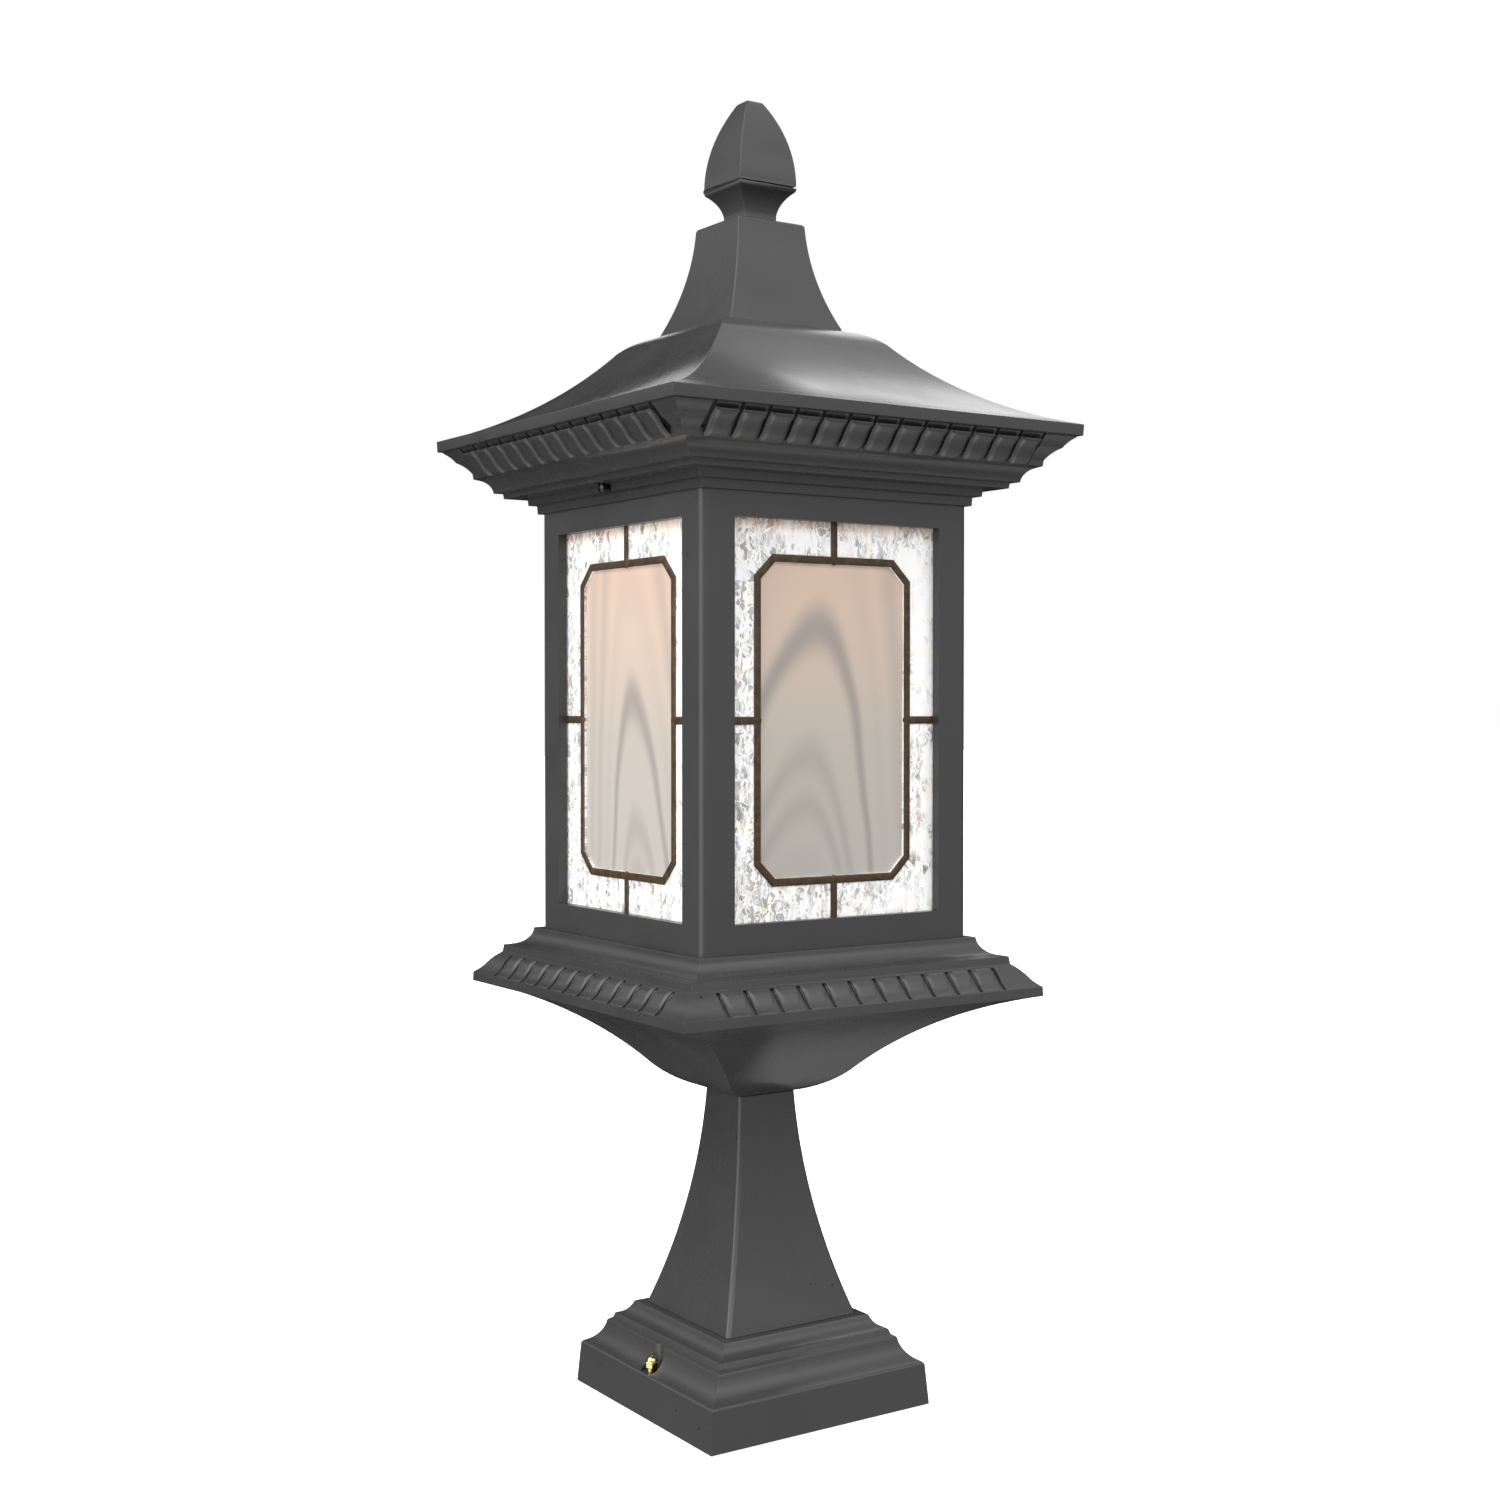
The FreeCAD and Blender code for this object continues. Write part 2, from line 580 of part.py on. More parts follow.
# ---------------------------------------------------------------- tube, lampholder and lamp
TUBE_FOOT = BASE_H - BASE_WEB - WASHER_T - TUBE_NUT_H - 3
TUBE_TOP = SOCKET_Z + 7
HOLDER_Z = SOCKET_Z + 3
SHELL_Z = SOCKET_Z + 20
LAMP_Z = SHELL_Z - 1
TERMINAL_Z = BASE_H - BASE_WEB - TERMINAL_H


def tube_nut(z):
    return cut(hexagon(TUBE_NUT_AF, z, z + TUBE_NUT_H), rod(TUBE_R, z - 1, z + TUBE_NUT_H + 1))


def tube_washer(z):
    return cut(rod(TUBE_NUT_AF / 2 + 2.5, z, z + WASHER_T), rod(TUBE_R, z - 1, z + WASHER_T + 1))


def centre_tube():
    return cut(rod(TUBE_R, TUBE_FOOT, TUBE_TOP), rod(TUBE_BORE_R, TUBE_FOOT, TUBE_TOP))


def candle_sleeve():
    return cut(rod(SLEEVE_R, CAGE_Z, SOCKET_Z), rod(SLEEVE_R - SLEEVE_WALL, CAGE_Z, SOCKET_Z))


def socket_cup():
    z = SOCKET_Z
    bore = SOCKET_R - SOCKET_CUP_T
    corner = arc((SOCKET_R - 3, z), (SOCKET_R, z + 3), 0.9)
    return lathe([(TUBE_R, z), corner, (SOCKET_R, HOLDER_Z + 10), (bore, HOLDER_Z + 10),
                  (bore, HOLDER_Z), (TUBE_R, HOLDER_Z)])


def lampholder():
    top = SOCKET_Z + SOCKET_H
    step = SOCKET_R - SOCKET_CUP_T
    barrel = lathe([(0, HOLDER_Z), (step, HOLDER_Z), (step, HOLDER_Z + 10),
                    (SOCKET_R, HOLDER_Z + 10), (SOCKET_R, top - 2), (SOCKET_R - 2, top), (0, top)])
    well = rod(SOCKET_BORE_R, SHELL_Z - 4, top)
    recess = rod(TUBE_R + 2, HOLDER_Z, TUBE_TOP + 1)
    return cut(barrel, well, recess)


def screw_shell():
    top = SOCKET_Z + SOCKET_H - 3
    return cut(rod(SOCKET_BORE_R, SHELL_Z - 4, top), rod(SOCKET_BORE_R - SHELL_T, SHELL_Z - 4, top))


def centre_contact():
    return join(rod(7, SHELL_Z - 4, SHELL_Z - 3.2), rod(3, SHELL_Z - 3.2, LAMP_Z - 0.2))


def lamp_cap():
    """Screw cap with a stepped insulator and the end contact."""
    z = LAMP_Z
    top = z + LAMP_CAP_H
    return lathe([(0, z), (4, z), (5, z + 0.8), (9, z + 3), (LAMP_CAP_R, z + 5),
                  (LAMP_CAP_R, top), (LAMP_CAP_R - 1, top + 2), (0, top + 2)])


def lamp_glass():
    foot = LAMP_Z + LAMP_CAP_H + 2
    neck = foot + 6
    crown = foot + LAMP_LEN

    def envelope(inset):
        r0, r1 = LAMP_CAP_R - 1.2 - inset, LAMP_R - inset
        widest = crown - LAMP_R
        flare = [(r0, neck), ((r0 + r1) / 2, neck + 20), (r1, widest)]
        return lathe([(0, foot), (r0, foot), flare, dome(r1, widest, r1)])

    return cut(envelope(0), envelope(LAMP_WALL))


def lead(side):
    """One insulated wire: terminal block, round under the tube's foot and up to the lampholder."""
    x = side * LEAD_X
    low = TERMINAL_Z - LEAD_BEND_R - 1
    r = LEAD_BEND_R
    k = r * (1 - math.sqrt(0.5))
    end = TERMINAL_Y
    bend_in = [V(x, 0, low + r), V(x, k, low + k), V(x, r, low)]
    bend_out = [V(x, end - r, low), V(x, end - k, low + k), V(x, end, low + r)]
    path = [Part.makeLine(V(x, 0, TUBE_TOP + 1), bend_in[0]),
            Part.Arc(*bend_in).toShape(),
            Part.makeLine(bend_in[2], bend_out[0]),
            Part.Arc(*bend_out).toShape(),
            Part.makeLine(bend_out[2], V(x, end, TERMINAL_Z))]
    section = Part.Wire(Part.makeCircle(LEAD_R, V(x, 0, TUBE_TOP + 1)))
    return Part.Wire(path).makePipeShell([section], True, False)


def terminal_block():
    block = box(-9, TERMINAL_Y - 5, TERMINAL_Z, 9, TERMINAL_Y + 9, BASE_H - BASE_WEB)
    relief = [box(x - 0.6, TERMINAL_Y - 5, TERMINAL_Z, x + 0.6, TERMINAL_Y + 9, TERMINAL_Z + 1.5)
              for x in (-6, 0, 6)]
    return cut(block, rod(SMALL_SCREW_R + HOLE_GAP, TERMINAL_Z, BASE_H, 0, TERMINAL_Y + 6), *relief)


def terminal_screw():
    return pan_screw(0, TERMINAL_Y + 6, TERMINAL_Z, TERMINAL_H + BASE_WEB - 1.5)


def ground_screw():
    head = hexagon(6.4, STRAP_T, STRAP_T + 3, GROUND_X)
    return join(head, rod(SMALL_SCREW_R, 0, STRAP_T, GROUND_X))


# ---------------------------------------------------------------- roof
SKIRT_IN = NECK_R + SKIRT_GAP
LEDGE_Z = SKIRT_Z + 13.3
FRIEZE = CAGE_R + 6.4
SCREW_Z = SKIRT_Z + 7.4
CORNICE_RIM = ROOF_R - 3.0
LUG_X = CORNICE_RIM - 19.5
LUG_Z = EAVE_Z - 7.6
LUG_T = 4.0


def cornice_points():
    fillet = (ROOF_R - 16.0, EAVE_Z - 13.4)
    rim = (CORNICE_RIM, EAVE_Z - 0.8)
    return fillet, rim


def cornice():
    fillet, rim = cornice_points()
    nose = ((fillet[0] + rim[0]) / 2 + 0.8, (fillet[1] + rim[1]) / 2 + 0.4)
    cove_in = ROOF_R - 25.5
    soffit = SKIRT_Z + 9.6
    outer = square_solid([
        (CAGE_R + 1.9, SKIRT_Z), (CAGE_R + 2.2, SKIRT_Z + 4.8), (FRIEZE - 0.4, SKIRT_Z + 5.2),
        (FRIEZE, soffit - 0.2), (cove_in - 4.6, soffit), (cove_in - 4.2, soffit + 3.1),
        (cove_in, soffit + 3.4), arc((cove_in, soffit + 3.6), (cove_in + 7.1, fillet[1] - 4.0), -1.7),
        (fillet[0] - 0.5, fillet[1] - 3.4), (fillet[0] - 0.1, fillet[1]),
        arc(fillet, nose, -0.7), arc(nose, rim, -0.5), (rim[0], EAVE_Z)])
    cavity = square_solid([
        (SKIRT_IN, SKIRT_Z), (SKIRT_IN, LEDGE_Z), (cove_in - 7.5, LEDGE_Z),
        (cove_in - 3.5, LEDGE_Z + 3.5), (cove_in - 2.5, LEDGE_Z + 7), (fillet[0] - 4.5, fillet[1] - 1),
        (fillet[0] - 3.5, fillet[1] + 2.5), (rim[0] - 4.6, EAVE_Z)])
    shell = cut(outer, cavity)
    lugs = []
    for x, y in corners(LUG_X - 6):
        xs, ys = sorted((x, x * 1.25)), sorted((y, y * 1.25))
        lugs.append(box(xs[0], ys[0], LUG_Z, xs[1], ys[1], LUG_Z + LUG_T))
    shell = join(shell, *[lug.common(outer) for lug in lugs])
    lug_holes = [rod(SMALL_SCREW_R + HOLE_GAP, LUG_Z, LUG_Z + LUG_T, x, y) for x, y in corners(LUG_X)]
    screw_holes = []
    for side in (-1, 1):
        for radius, start, end in ((ROOF_SCREW_R + RUN_GAP, SKIRT_IN - 1, FRIEZE + 1),
                                   (ROOF_SCREW_R + 2, FRIEZE - 2.6, FRIEZE + 17.4)):
            seat = V(side * start, 0, SCREW_Z)
            screw_holes.append(Part.makeCylinder(radius, end - start, seat, V(side, 0, 0)))
    inner = (fillet[0], fillet[1])
    grooves = bead_grooves(inner, rim, 2.0, 0.8)
    return cut(shell, *lug_holes, *screw_holes, *grooves)


def roof_cap():
    """Lower roof tier with the eave fascia."""
    half = ROOF_R
    shoulder = (ROOF_SHOULDER_W / 2, SPIRE_Z - ROOF_SHOULDER_H)
    seat = SPIRE_FOOT_W / 2 + 0.9
    sweep = arc((half, EAVE_Z + ROOF_FASCIA_H), shoulder, -ROOF_HOLLOW)
    crown = arc(shoulder, (seat, SPIRE_Z), ROOF_ROUND)
    outer = square_solid([(half - 0.3, EAVE_Z), sweep, crown])
    inner = offset(sweep, CAST_WALL)
    ceiling = SPIRE_Z - 6
    lining = [(inner[0][0] - 8, inner[0][1] + 2.6), inner[1], inner[2]]
    cavity = square_solid([(CORNICE_RIM - 4.6, EAVE_Z), (CORNICE_RIM - 6.0, inner[0][1] + 0.6),
                           lining, (inner[2][0] - 6, ceiling)])
    shell = cut(outer, cavity)
    bosses = [rod(5, LUG_Z + LUG_T, EAVE_Z + 16, x, y) for x, y in corners(LUG_X)]
    envelope = square_solid([(half - 0.3, EAVE_Z - 10), (half - 0.3, EAVE_Z), sweep, crown])
    shell = join(shell, *[boss.common(envelope) for boss in bosses])
    key = slab(SPIRE_FOOT_W / 2 - CAST_WALL - 1.5, SPIRE_Z, SPIRE_Z + 2)
    bores = [rod(SMALL_SCREW_R + SCREW_BORE_GAP, LUG_Z, LUG_Z + LUG_T + 9, x, y) for x, y in corners(LUG_X)]
    return cut(join(shell, key), rod(ROD_R + 1, ceiling - 1, SPIRE_Z + 3), *bores)


def spire():
    side = arc((SPIRE_FOOT_W / 2, SPIRE_Z), (SPIRE_TOP_W / 2, FINIAL_Z - 2.2), -SPIRE_HOLLOW)
    brow = arc(side[2], (SPIRE_TOP_W / 2 - 2.2, FINIAL_Z), 0.6)
    outer = square_solid([side, brow])
    inner = offset(side, CAST_WALL)
    ceiling = FINIAL_Z - 6
    cavity = square_solid([inner]).common(slab(100, SPIRE_Z, ceiling))
    opening = slab(inner[0][0] - 0.1, SPIRE_Z - 5, SPIRE_Z + 3)
    return cut(outer, cavity, opening, rod(ROD_R + HOLE_GAP, ceiling - 1, FINIAL_Z))


def finial():
    """Square bud on a waisted neck, screwed down on the tie rod."""
    neck = FINIAL_NECK_W / 2
    z = FINIAL_Z
    flare = arc((neck, z + FINIAL_NECK_H), (FINIAL_W / 2 - 0.2, z + FINIAL_NECK_H + FINIAL_FLARE_H), -1.6)
    belly = (FINIAL_W / 2, z + FINIAL_NECK_H + FINIAL_FLARE_H + 2)
    bud = arc(belly, (FINIAL_TIP_W / 2, z + FINIAL_H - 0.6), FINIAL_ROUND)
    body = square_solid([(neck + 0.8, z), (neck + 0.8, z + 1.5), (neck, z + 2.5), flare, bud,
                         (FINIAL_TIP_W / 2 - 1.0, z + FINIAL_H)])
    return cut(body, rod(ROD_R + RUN_GAP, z, ROD_TOP + 1))


ROD_TOP = FINIAL_Z + FINIAL_GRIP
ROD_FOOT = LEDGE_Z - ROD_NUT_H - 1


def tie_rod():
    return rod(ROD_R, ROD_FOOT, ROD_TOP)


def tie_bar():
    half = ROOF_R - 34.0
    bar = box(-half, -TIE_BAR_W / 2, LEDGE_Z, half, TIE_BAR_W / 2, LEDGE_Z + TIE_BAR_T)
    return cut(bar, rod(ROD_R + HOLE_GAP, LEDGE_Z, LEDGE_Z + TIE_BAR_T))


def tie_nut(z):
    return cut(hexagon(ROD_NUT_AF, z, z + ROD_NUT_H), rod(ROD_R, z - 1, z + ROD_NUT_H + 1))


def roof_screw(side):
    """Set screw through the skirt, backed off so that the roof lifts; driven in, it grips the neck."""
    tip = NECK_R + ROOF_SCREW_BACK
    end = FRIEZE + ROOF_SCREW_PROUD
    r = ROOF_SCREW_R
    head = r + 0.9
    screw = lathe([(0, tip), (r - 0.5, tip), (r, tip + 0.5), (r, end - 3.2), (head, end - 3.2),
                   dome(head, end - 1.0, 1.0)])
    screw = cut(screw, box(-4, -0.4, end - 1.2, 4, 0.4, end + 1))
    screw.rotate(ORIGIN, V(0, 1, 0), 90 * side)
    screw.translate(V(0, 0, SCREW_Z))
    return screw


# ---------------------------------------------------------------- write the parts
def main():
    os.makedirs("parts", exist_ok=True)
    studs = (-STUD_X, STUD_X)
    washers = (BASE_H - BASE_WEB - WASHER_T, CAGE_Z)
    single = {
        "pier_base": pier_base(),
        "mounting_strap": mounting_strap(),
        "mounting_studs": group([mounting_stud(x) for x in studs]),
        "stud_nuts": group([stud_nut(x) for x in studs]),
        "cap_nut_left": cap_nut(-STUD_X),
        "cap_nut_right": cap_nut(STUD_X),
        "stem": stem(),
        "bowl": bowl(),
        "tray": tray(),
        "cage": cage(),
        "cage_screws": group([pan_screw(x, y, CAGE_Z - TRAY_FLOOR, 22) for x, y in corners(POST_X)]),
        "centre_tube": centre_tube(),
        "tube_nuts": group([tube_nut(washers[0] - TUBE_NUT_H), tube_nut(washers[1] + WASHER_T)]),
        "tube_washers": group([tube_washer(z) for z in washers]),
        "corner_clips": group([c for z in CLIP_LEVELS for c in all_round(corner_clip(z))]),
        "clip_screws": group([c for z in CLIP_LEVELS for c in all_round(clip_screw(z))]),
        "candle_sleeve": candle_sleeve(),
        "socket_cup": socket_cup(),
        "lampholder": lampholder(),
        "screw_shell": screw_shell(),
        "centre_contact": centre_contact(),
        "leads": group([lead(-1), lead(1)]),
        "terminal_block": terminal_block(),
        "terminal_screw": terminal_screw(),
        "ground_screw": ground_screw(),
        "lamp_cap": lamp_cap(),
        "lamp_glass": lamp_glass(),
        "cornice": cornice(),
        "cornice_screws": group([pan_screw(x, y, LUG_Z, LUG_T + 8) for x, y in corners(LUG_X)]),
        "roof_cap": roof_cap(),
        "spire": spire(),
        "tie_rod": tie_rod(),
        "tie_bar": tie_bar(),
        "tie_nuts": group([tie_nut(LEDGE_Z - ROD_NUT_H), tie_nut(LEDGE_Z + TIE_BAR_T)]),
        "finial": finial(),
        "roof_screw_left": roof_screw(-1),
        "roof_screw_right": roof_screw(1),
    }
    for name, shape in single.items():
        export(name, shape)
    panel = {"centre_glass": centre_glass(), "border_glass": border_glass(), "came": came()}
    for side, angle in SIDES.items():
        for name, shape in panel.items():
            export(name + "_" + side, turned(shape, angle))


main()
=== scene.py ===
"""Looks for the pier mount lantern, built around its packed design.

Metres, in the design's own frame: +Z is up and the front window faces -Y. The file is laid out
as an add-on and run as a script: one operator for each group of pieces, and one for the stage.
"""
import json
import math

import bmesh
import bpy
from mathutils import Matrix, Vector, noise


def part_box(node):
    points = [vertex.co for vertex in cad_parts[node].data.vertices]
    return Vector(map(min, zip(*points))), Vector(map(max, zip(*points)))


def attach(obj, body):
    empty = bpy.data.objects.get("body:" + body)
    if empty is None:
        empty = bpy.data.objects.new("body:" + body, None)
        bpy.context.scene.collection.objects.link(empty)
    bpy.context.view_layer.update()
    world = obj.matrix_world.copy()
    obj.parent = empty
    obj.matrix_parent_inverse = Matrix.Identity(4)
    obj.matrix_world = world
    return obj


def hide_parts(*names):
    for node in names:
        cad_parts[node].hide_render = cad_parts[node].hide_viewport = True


bl_info = {
    "name": "Pier Mount Lantern",
    "version": (1, 0, 0),
    "blender": (4, 5, 0),
    "location": "3D View > Sidebar > Lantern",
    "description": "Builds the visible pieces of a cast pier mount lantern with leaded windows",
    "category": "Object",
}

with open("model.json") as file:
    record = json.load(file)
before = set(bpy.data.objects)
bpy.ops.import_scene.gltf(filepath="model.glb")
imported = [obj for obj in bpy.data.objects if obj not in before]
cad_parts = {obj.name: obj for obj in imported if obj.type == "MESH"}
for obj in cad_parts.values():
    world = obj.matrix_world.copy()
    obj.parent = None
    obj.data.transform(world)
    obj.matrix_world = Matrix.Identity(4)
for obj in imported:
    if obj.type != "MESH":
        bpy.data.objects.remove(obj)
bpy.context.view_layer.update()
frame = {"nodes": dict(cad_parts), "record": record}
MM = 0.001
SIDES = {"front": 0, "right": 90, "rear": 180, "left": 270}


# ---------------------------------------------------------------- places taken from the design
def lowest(node):
    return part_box(node)[0]


def highest(node):
    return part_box(node)[1]


CAGE_TOP_EDGE = highest("cage").x
TRAY_TOP = lowest("cage").z
SEAT_OF_CORNICE = lowest("cornice").z
EAVE = lowest("roof_cap")
PANEL_FACE = -lowest("came_front").y
PANEL_MIDDLE = (lowest("came_front").z + highest("came_front").z) / 2
PANE_HALF = highest("centre_glass_front").x
PANE_HALF_H = (highest("centre_glass_front").z - lowest("centre_glass_front").z) / 2
SHEET_HALF = highest("border_glass_front").x
SHEET_HALF_H = (highest("border_glass_front").z - lowest("border_glass_front").z) / 2
GLASS_FACE = -lowest("border_glass_front").y
GLASS_BACK = -highest("border_glass_front").y


# ---------------------------------------------------------------- settings
class LanternFinish(bpy.types.PropertyGroup):
    """Colours and finish of the lantern."""

    coat: bpy.props.StringProperty(
        name="Powder coat", description="Colour of the castings, as an sRGB hex value", default="383838")
    coat_roughness: bpy.props.FloatProperty(
        name="Coat roughness", description="Roughness of the powder coat", default=0.27, min=0.0, max=1.0)
    strip: bpy.props.StringProperty(
        name="Lead strip", description="Colour of the patinated lead strip", default="4b3a27")
    pane: bpy.props.StringProperty(
        name="Centre panes", description="Ground colour of the opal glass", default="bbb3a9")
    # painted lamp light: the opal glass is drawn warm at its top, next to the lamp, and a little darker at
    # its foot, away from it
    pane_painted_foot_shade: bpy.props.StringProperty(
        name="Cool foot", description="Colour of the opal glass away from the lamp", default="b4afa9")
    pane_painted_lamp_light: bpy.props.StringProperty(
        name="Warm top", description="Colour of the opal glass next to the lamp", default="dcc0ad")
    pane_shade: bpy.props.StringProperty(
        name="Swirls", description="Colour of the darker swirls in the opal glass", default="9c958f")
    rounding: bpy.props.FloatProperty(
        name="Edge rounding", description="Rounding of the castings' edges", default=0.7 * MM,
        min=0.0, unit="LENGTH", subtype="DISTANCE")


STRIP_LINE = 0.7 * MM     # centre pane's edge to the middle of the lead strip round it
SOLDER_ALONG = 2.7 * MM   # half length of a solder joint, along its stub
SOLDER_ACROSS = 2.3 * MM  # and across it
SHEET_STEP = 1.3 * MM     # spacing of the border glass's relief points
SHEET_SUNK = 0.3 * MM     # middle of that relief, behind the design's face
SHEET_GAP = 0.5 * MM      # half the gap between two border panes, under the strip
CHAMFER = 0.2 * MM        # on the centre pane's front edge
SKIN = 0.1 * MM           # keeps one glass face off the design's face behind it


class LanternWindow(bpy.types.PropertyGroup):
    """Sizes of the leaded windows."""

    strip_width: bpy.props.FloatProperty(
        name="Strip width", description="Visible width of the lead strip", default=4.3 * MM,
        min=0.5 * MM, unit="LENGTH", subtype="DISTANCE")
    strip_rise: bpy.props.FloatProperty(
        name="Strip rise", description="Height of the strip's rounded face", default=0.7 * MM,
        min=0.0, unit="LENGTH", subtype="DISTANCE")
    corner_cut: bpy.props.FloatProperty(
        name="Corner cut", description="Size of the octagon's cut corners", default=10.3 * MM,
        min=0.0, unit="LENGTH", subtype="DISTANCE")
    ripple: bpy.props.FloatProperty(
        name="Ripple", description="Depth of the border glass's relief", default=0.25 * MM,
        min=0.0, unit="LENGTH", subtype="DISTANCE")
    pane_recess: bpy.props.FloatProperty(
        name="Pane recess", description="How far the centre pane sits behind the border glass",
        default=1.5 * MM, min=0.0, unit="LENGTH", subtype="DISTANCE")


class LanternBeads(bpy.types.PropertyGroup):
    """Sizes of the carved bands."""

    pitch: bpy.props.FloatProperty(
        name="Pitch", description="Distance from bead to bead", default=16.9 * MM,
        min=1.0 * MM, unit="LENGTH", subtype="DISTANCE")
    groove: bpy.props.FloatProperty(
        name="Groove", description="Width of the groove between two beads", default=2.4 * MM,
        min=0.0, unit="LENGTH", subtype="DISTANCE")
    puff: bpy.props.FloatProperty(
        name="Puff", description="How far a bead's face swells out", default=0.45 * MM,
        min=0.0, unit="LENGTH", subtype="DISTANCE")


END_DROP = -1.3 * MM      # how far a bead's ends fall below its crown
GROOVE_DROP = -1.6 * MM   # how far its sides fall below the band, into the grooves
WALL_FADE = 6.0           # how fast a wall's light falls off round its direction
LAMP_AWAY = 1.7           # lantern to each lamp, in metres


class LanternStage(bpy.types.PropertyGroup):
    """Camera and light."""

    azimuth: bpy.props.FloatProperty(
        name="Azimuth", description="Turn of the camera round the lantern", default=math.radians(-33.64),
        subtype="ANGLE")
    distance: bpy.props.FloatProperty(
        name="Distance", description="Camera to the lantern's axis", default=1187.1 * MM,
        unit="LENGTH", subtype="DISTANCE")
    height: bpy.props.FloatProperty(
        name="Height", description="Camera above the pier", default=405.2 * MM,
        unit="LENGTH", subtype="DISTANCE")
    tilt: bpy.props.FloatProperty(
        name="Tilt", description="Camera's tilt below the horizon", default=math.radians(1.204),
        subtype="ANGLE")
    room: bpy.props.FloatProperty(
        name="Room", description="Overall brightness of the studio's walls", default=1.0, min=0.0)
    floor_glow: bpy.props.FloatProperty(
        name="Floor glow", description="Light that comes through the studio's paper floor", default=0.8,
        min=0.0, max=1.0)
    lens: bpy.props.FloatProperty(
        name="Lens", description="Focal length in millimetres", default=48.4, min=1.0)


# ---------------------------------------------------------------- helpers
def linear(hex_value, alpha=1.0):
    """An sRGB hex value as linear red, green, blue and alpha."""
    def channel(c):
        return c / 12.92 if c <= 0.04045 else ((c + 0.055) / 1.055) ** 2.4
    values = [int(hex_value[i:i + 2], 16) / 255 for i in (0, 2, 4)]
    return tuple(channel(c) for c in values) + (alpha,)


def add(tree, kind, inputs=None, **settings):
    """Adds a node, sets its properties, and sets or links its inputs by name or number."""
    made = tree.nodes.new(kind)
    for key, value in settings.items():
        setattr(made, key, value)
    for key, value in (inputs or {}).items():
        socket = made.inputs[key]
        if isinstance(value, bpy.types.NodeSocket):
            tree.links.new(value, socket)
        else:
            socket.default_value = value
    return made


def calc(tree, operation, *values, clamp=False):
    """The result of a math node; each value is a number or another node's output."""
    made = add(tree, "ShaderNodeMath", dict(enumerate(values)), operation=operation, use_clamp=clamp)
    return made.outputs[0]


def clouds(tree, where, scale, detail):
    """Cloudy noise from 0 to 1."""
    made = add(tree, "ShaderNodeTexNoise", {"Vector": where, "Scale": scale, "Detail": detail})
    return made.outputs["Fac"]


def remap(tree, value, low, high, to_low=0.0, to_high=1.0, **settings):
    """Carries a value from one range over to another, stopping at its ends."""
    made = add(tree, "ShaderNodeMapRange", {"Value": value, "From Min": low, "From Max": high,
                                            "To Min": to_low, "To Max": to_high}, **settings)
    return made.outputs["Result"]


def ease(tree, *values):
    """The same with a soft start and end."""
    return remap(tree, *values, interpolation_type="SMOOTHSTEP")


def relief(tree, height, strength, distance, under=None, invert=False):
    """A surface's normal with a relief on it, over another relief if one is given."""
    inputs = {"Height": height, "Strength": strength, "Distance": distance}
    if under is not None:
        inputs["Normal"] = under
    return add(tree, "ShaderNodeBump", inputs, invert=invert).outputs["Normal"]


def feed(tree, shader, **outputs):
    """Links nodes' outputs to the shader's sockets."""
    for key, output in outputs.items():
        tree.links.new(output, shader.inputs[key.replace("_", " ")])


def blend(tree, factor, a, b, way="MIX"):
    """Two colours mixed or multiplied."""
    made = add(tree, "ShaderNodeMix", {"Factor": factor, "A": a, "B": b}, data_type="RGBA", blend_type=way)
    return made.outputs["Result"]


def new_material(name, **constants):
    """A material with a Principled shader whose plain numbers are set on its own sockets."""
    made = bpy.data.materials.new(name)
    made.use_nodes = True
    tree = made.node_tree
    tree.nodes.clear()
    shader = add(tree, "ShaderNodeBsdfPrincipled",
                 {key.replace("_", " "): value for key, value in constants.items()})
    add(tree, "ShaderNodeOutputMaterial", {"Surface": shader.outputs["BSDF"]})
    return made, tree, shader


def ramp(tree, factor, stops):
    """A colour ramp from (position, colour) stops."""
    made = add(tree, "ShaderNodeValToRGB", {"Fac": factor})
    elements = made.color_ramp.elements
    while len(elements) > 1:
        elements.remove(elements[-1])
    elements[0].position, elements[0].color = stops[0]
    for position, colour in stops[1:]:
        elements.new(position).color = colour
    return made


def grey(value):
    return (value, value, value, 1.0)


def object_coords(tree):
    return add(tree, "ShaderNodeTexCoord").outputs["Object"]


def per_metre(size_mm):
    """Texture scale that gives features of a size in millimetres."""
    return 1000.0 / size_mm


def finish_piece(name, mesh, material, body, nodes):
    """Makes the object, gives it its material, hangs it on its body and hides the design's nodes it stands
    for.
    """
    mesh.materials.clear()
    mesh.materials.append(material)
    mesh.polygons.foreach_set("material_index", [0] * len(mesh.polygons))
    piece = bpy.data.objects.new(name, mesh)
    bpy.context.scene.collection.objects.link(piece)
    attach(piece, body)
    if nodes:
        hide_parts(*nodes)
    return piece


def plain_mesh(piece):
    """The evaluated object as a new mesh, with every modifier worked in."""
    graph = bpy.context.evaluated_depsgraph_get()
    graph.update()
    return bpy.data.meshes.new_from_object(piece.evaluated_get(graph), depsgraph=graph)


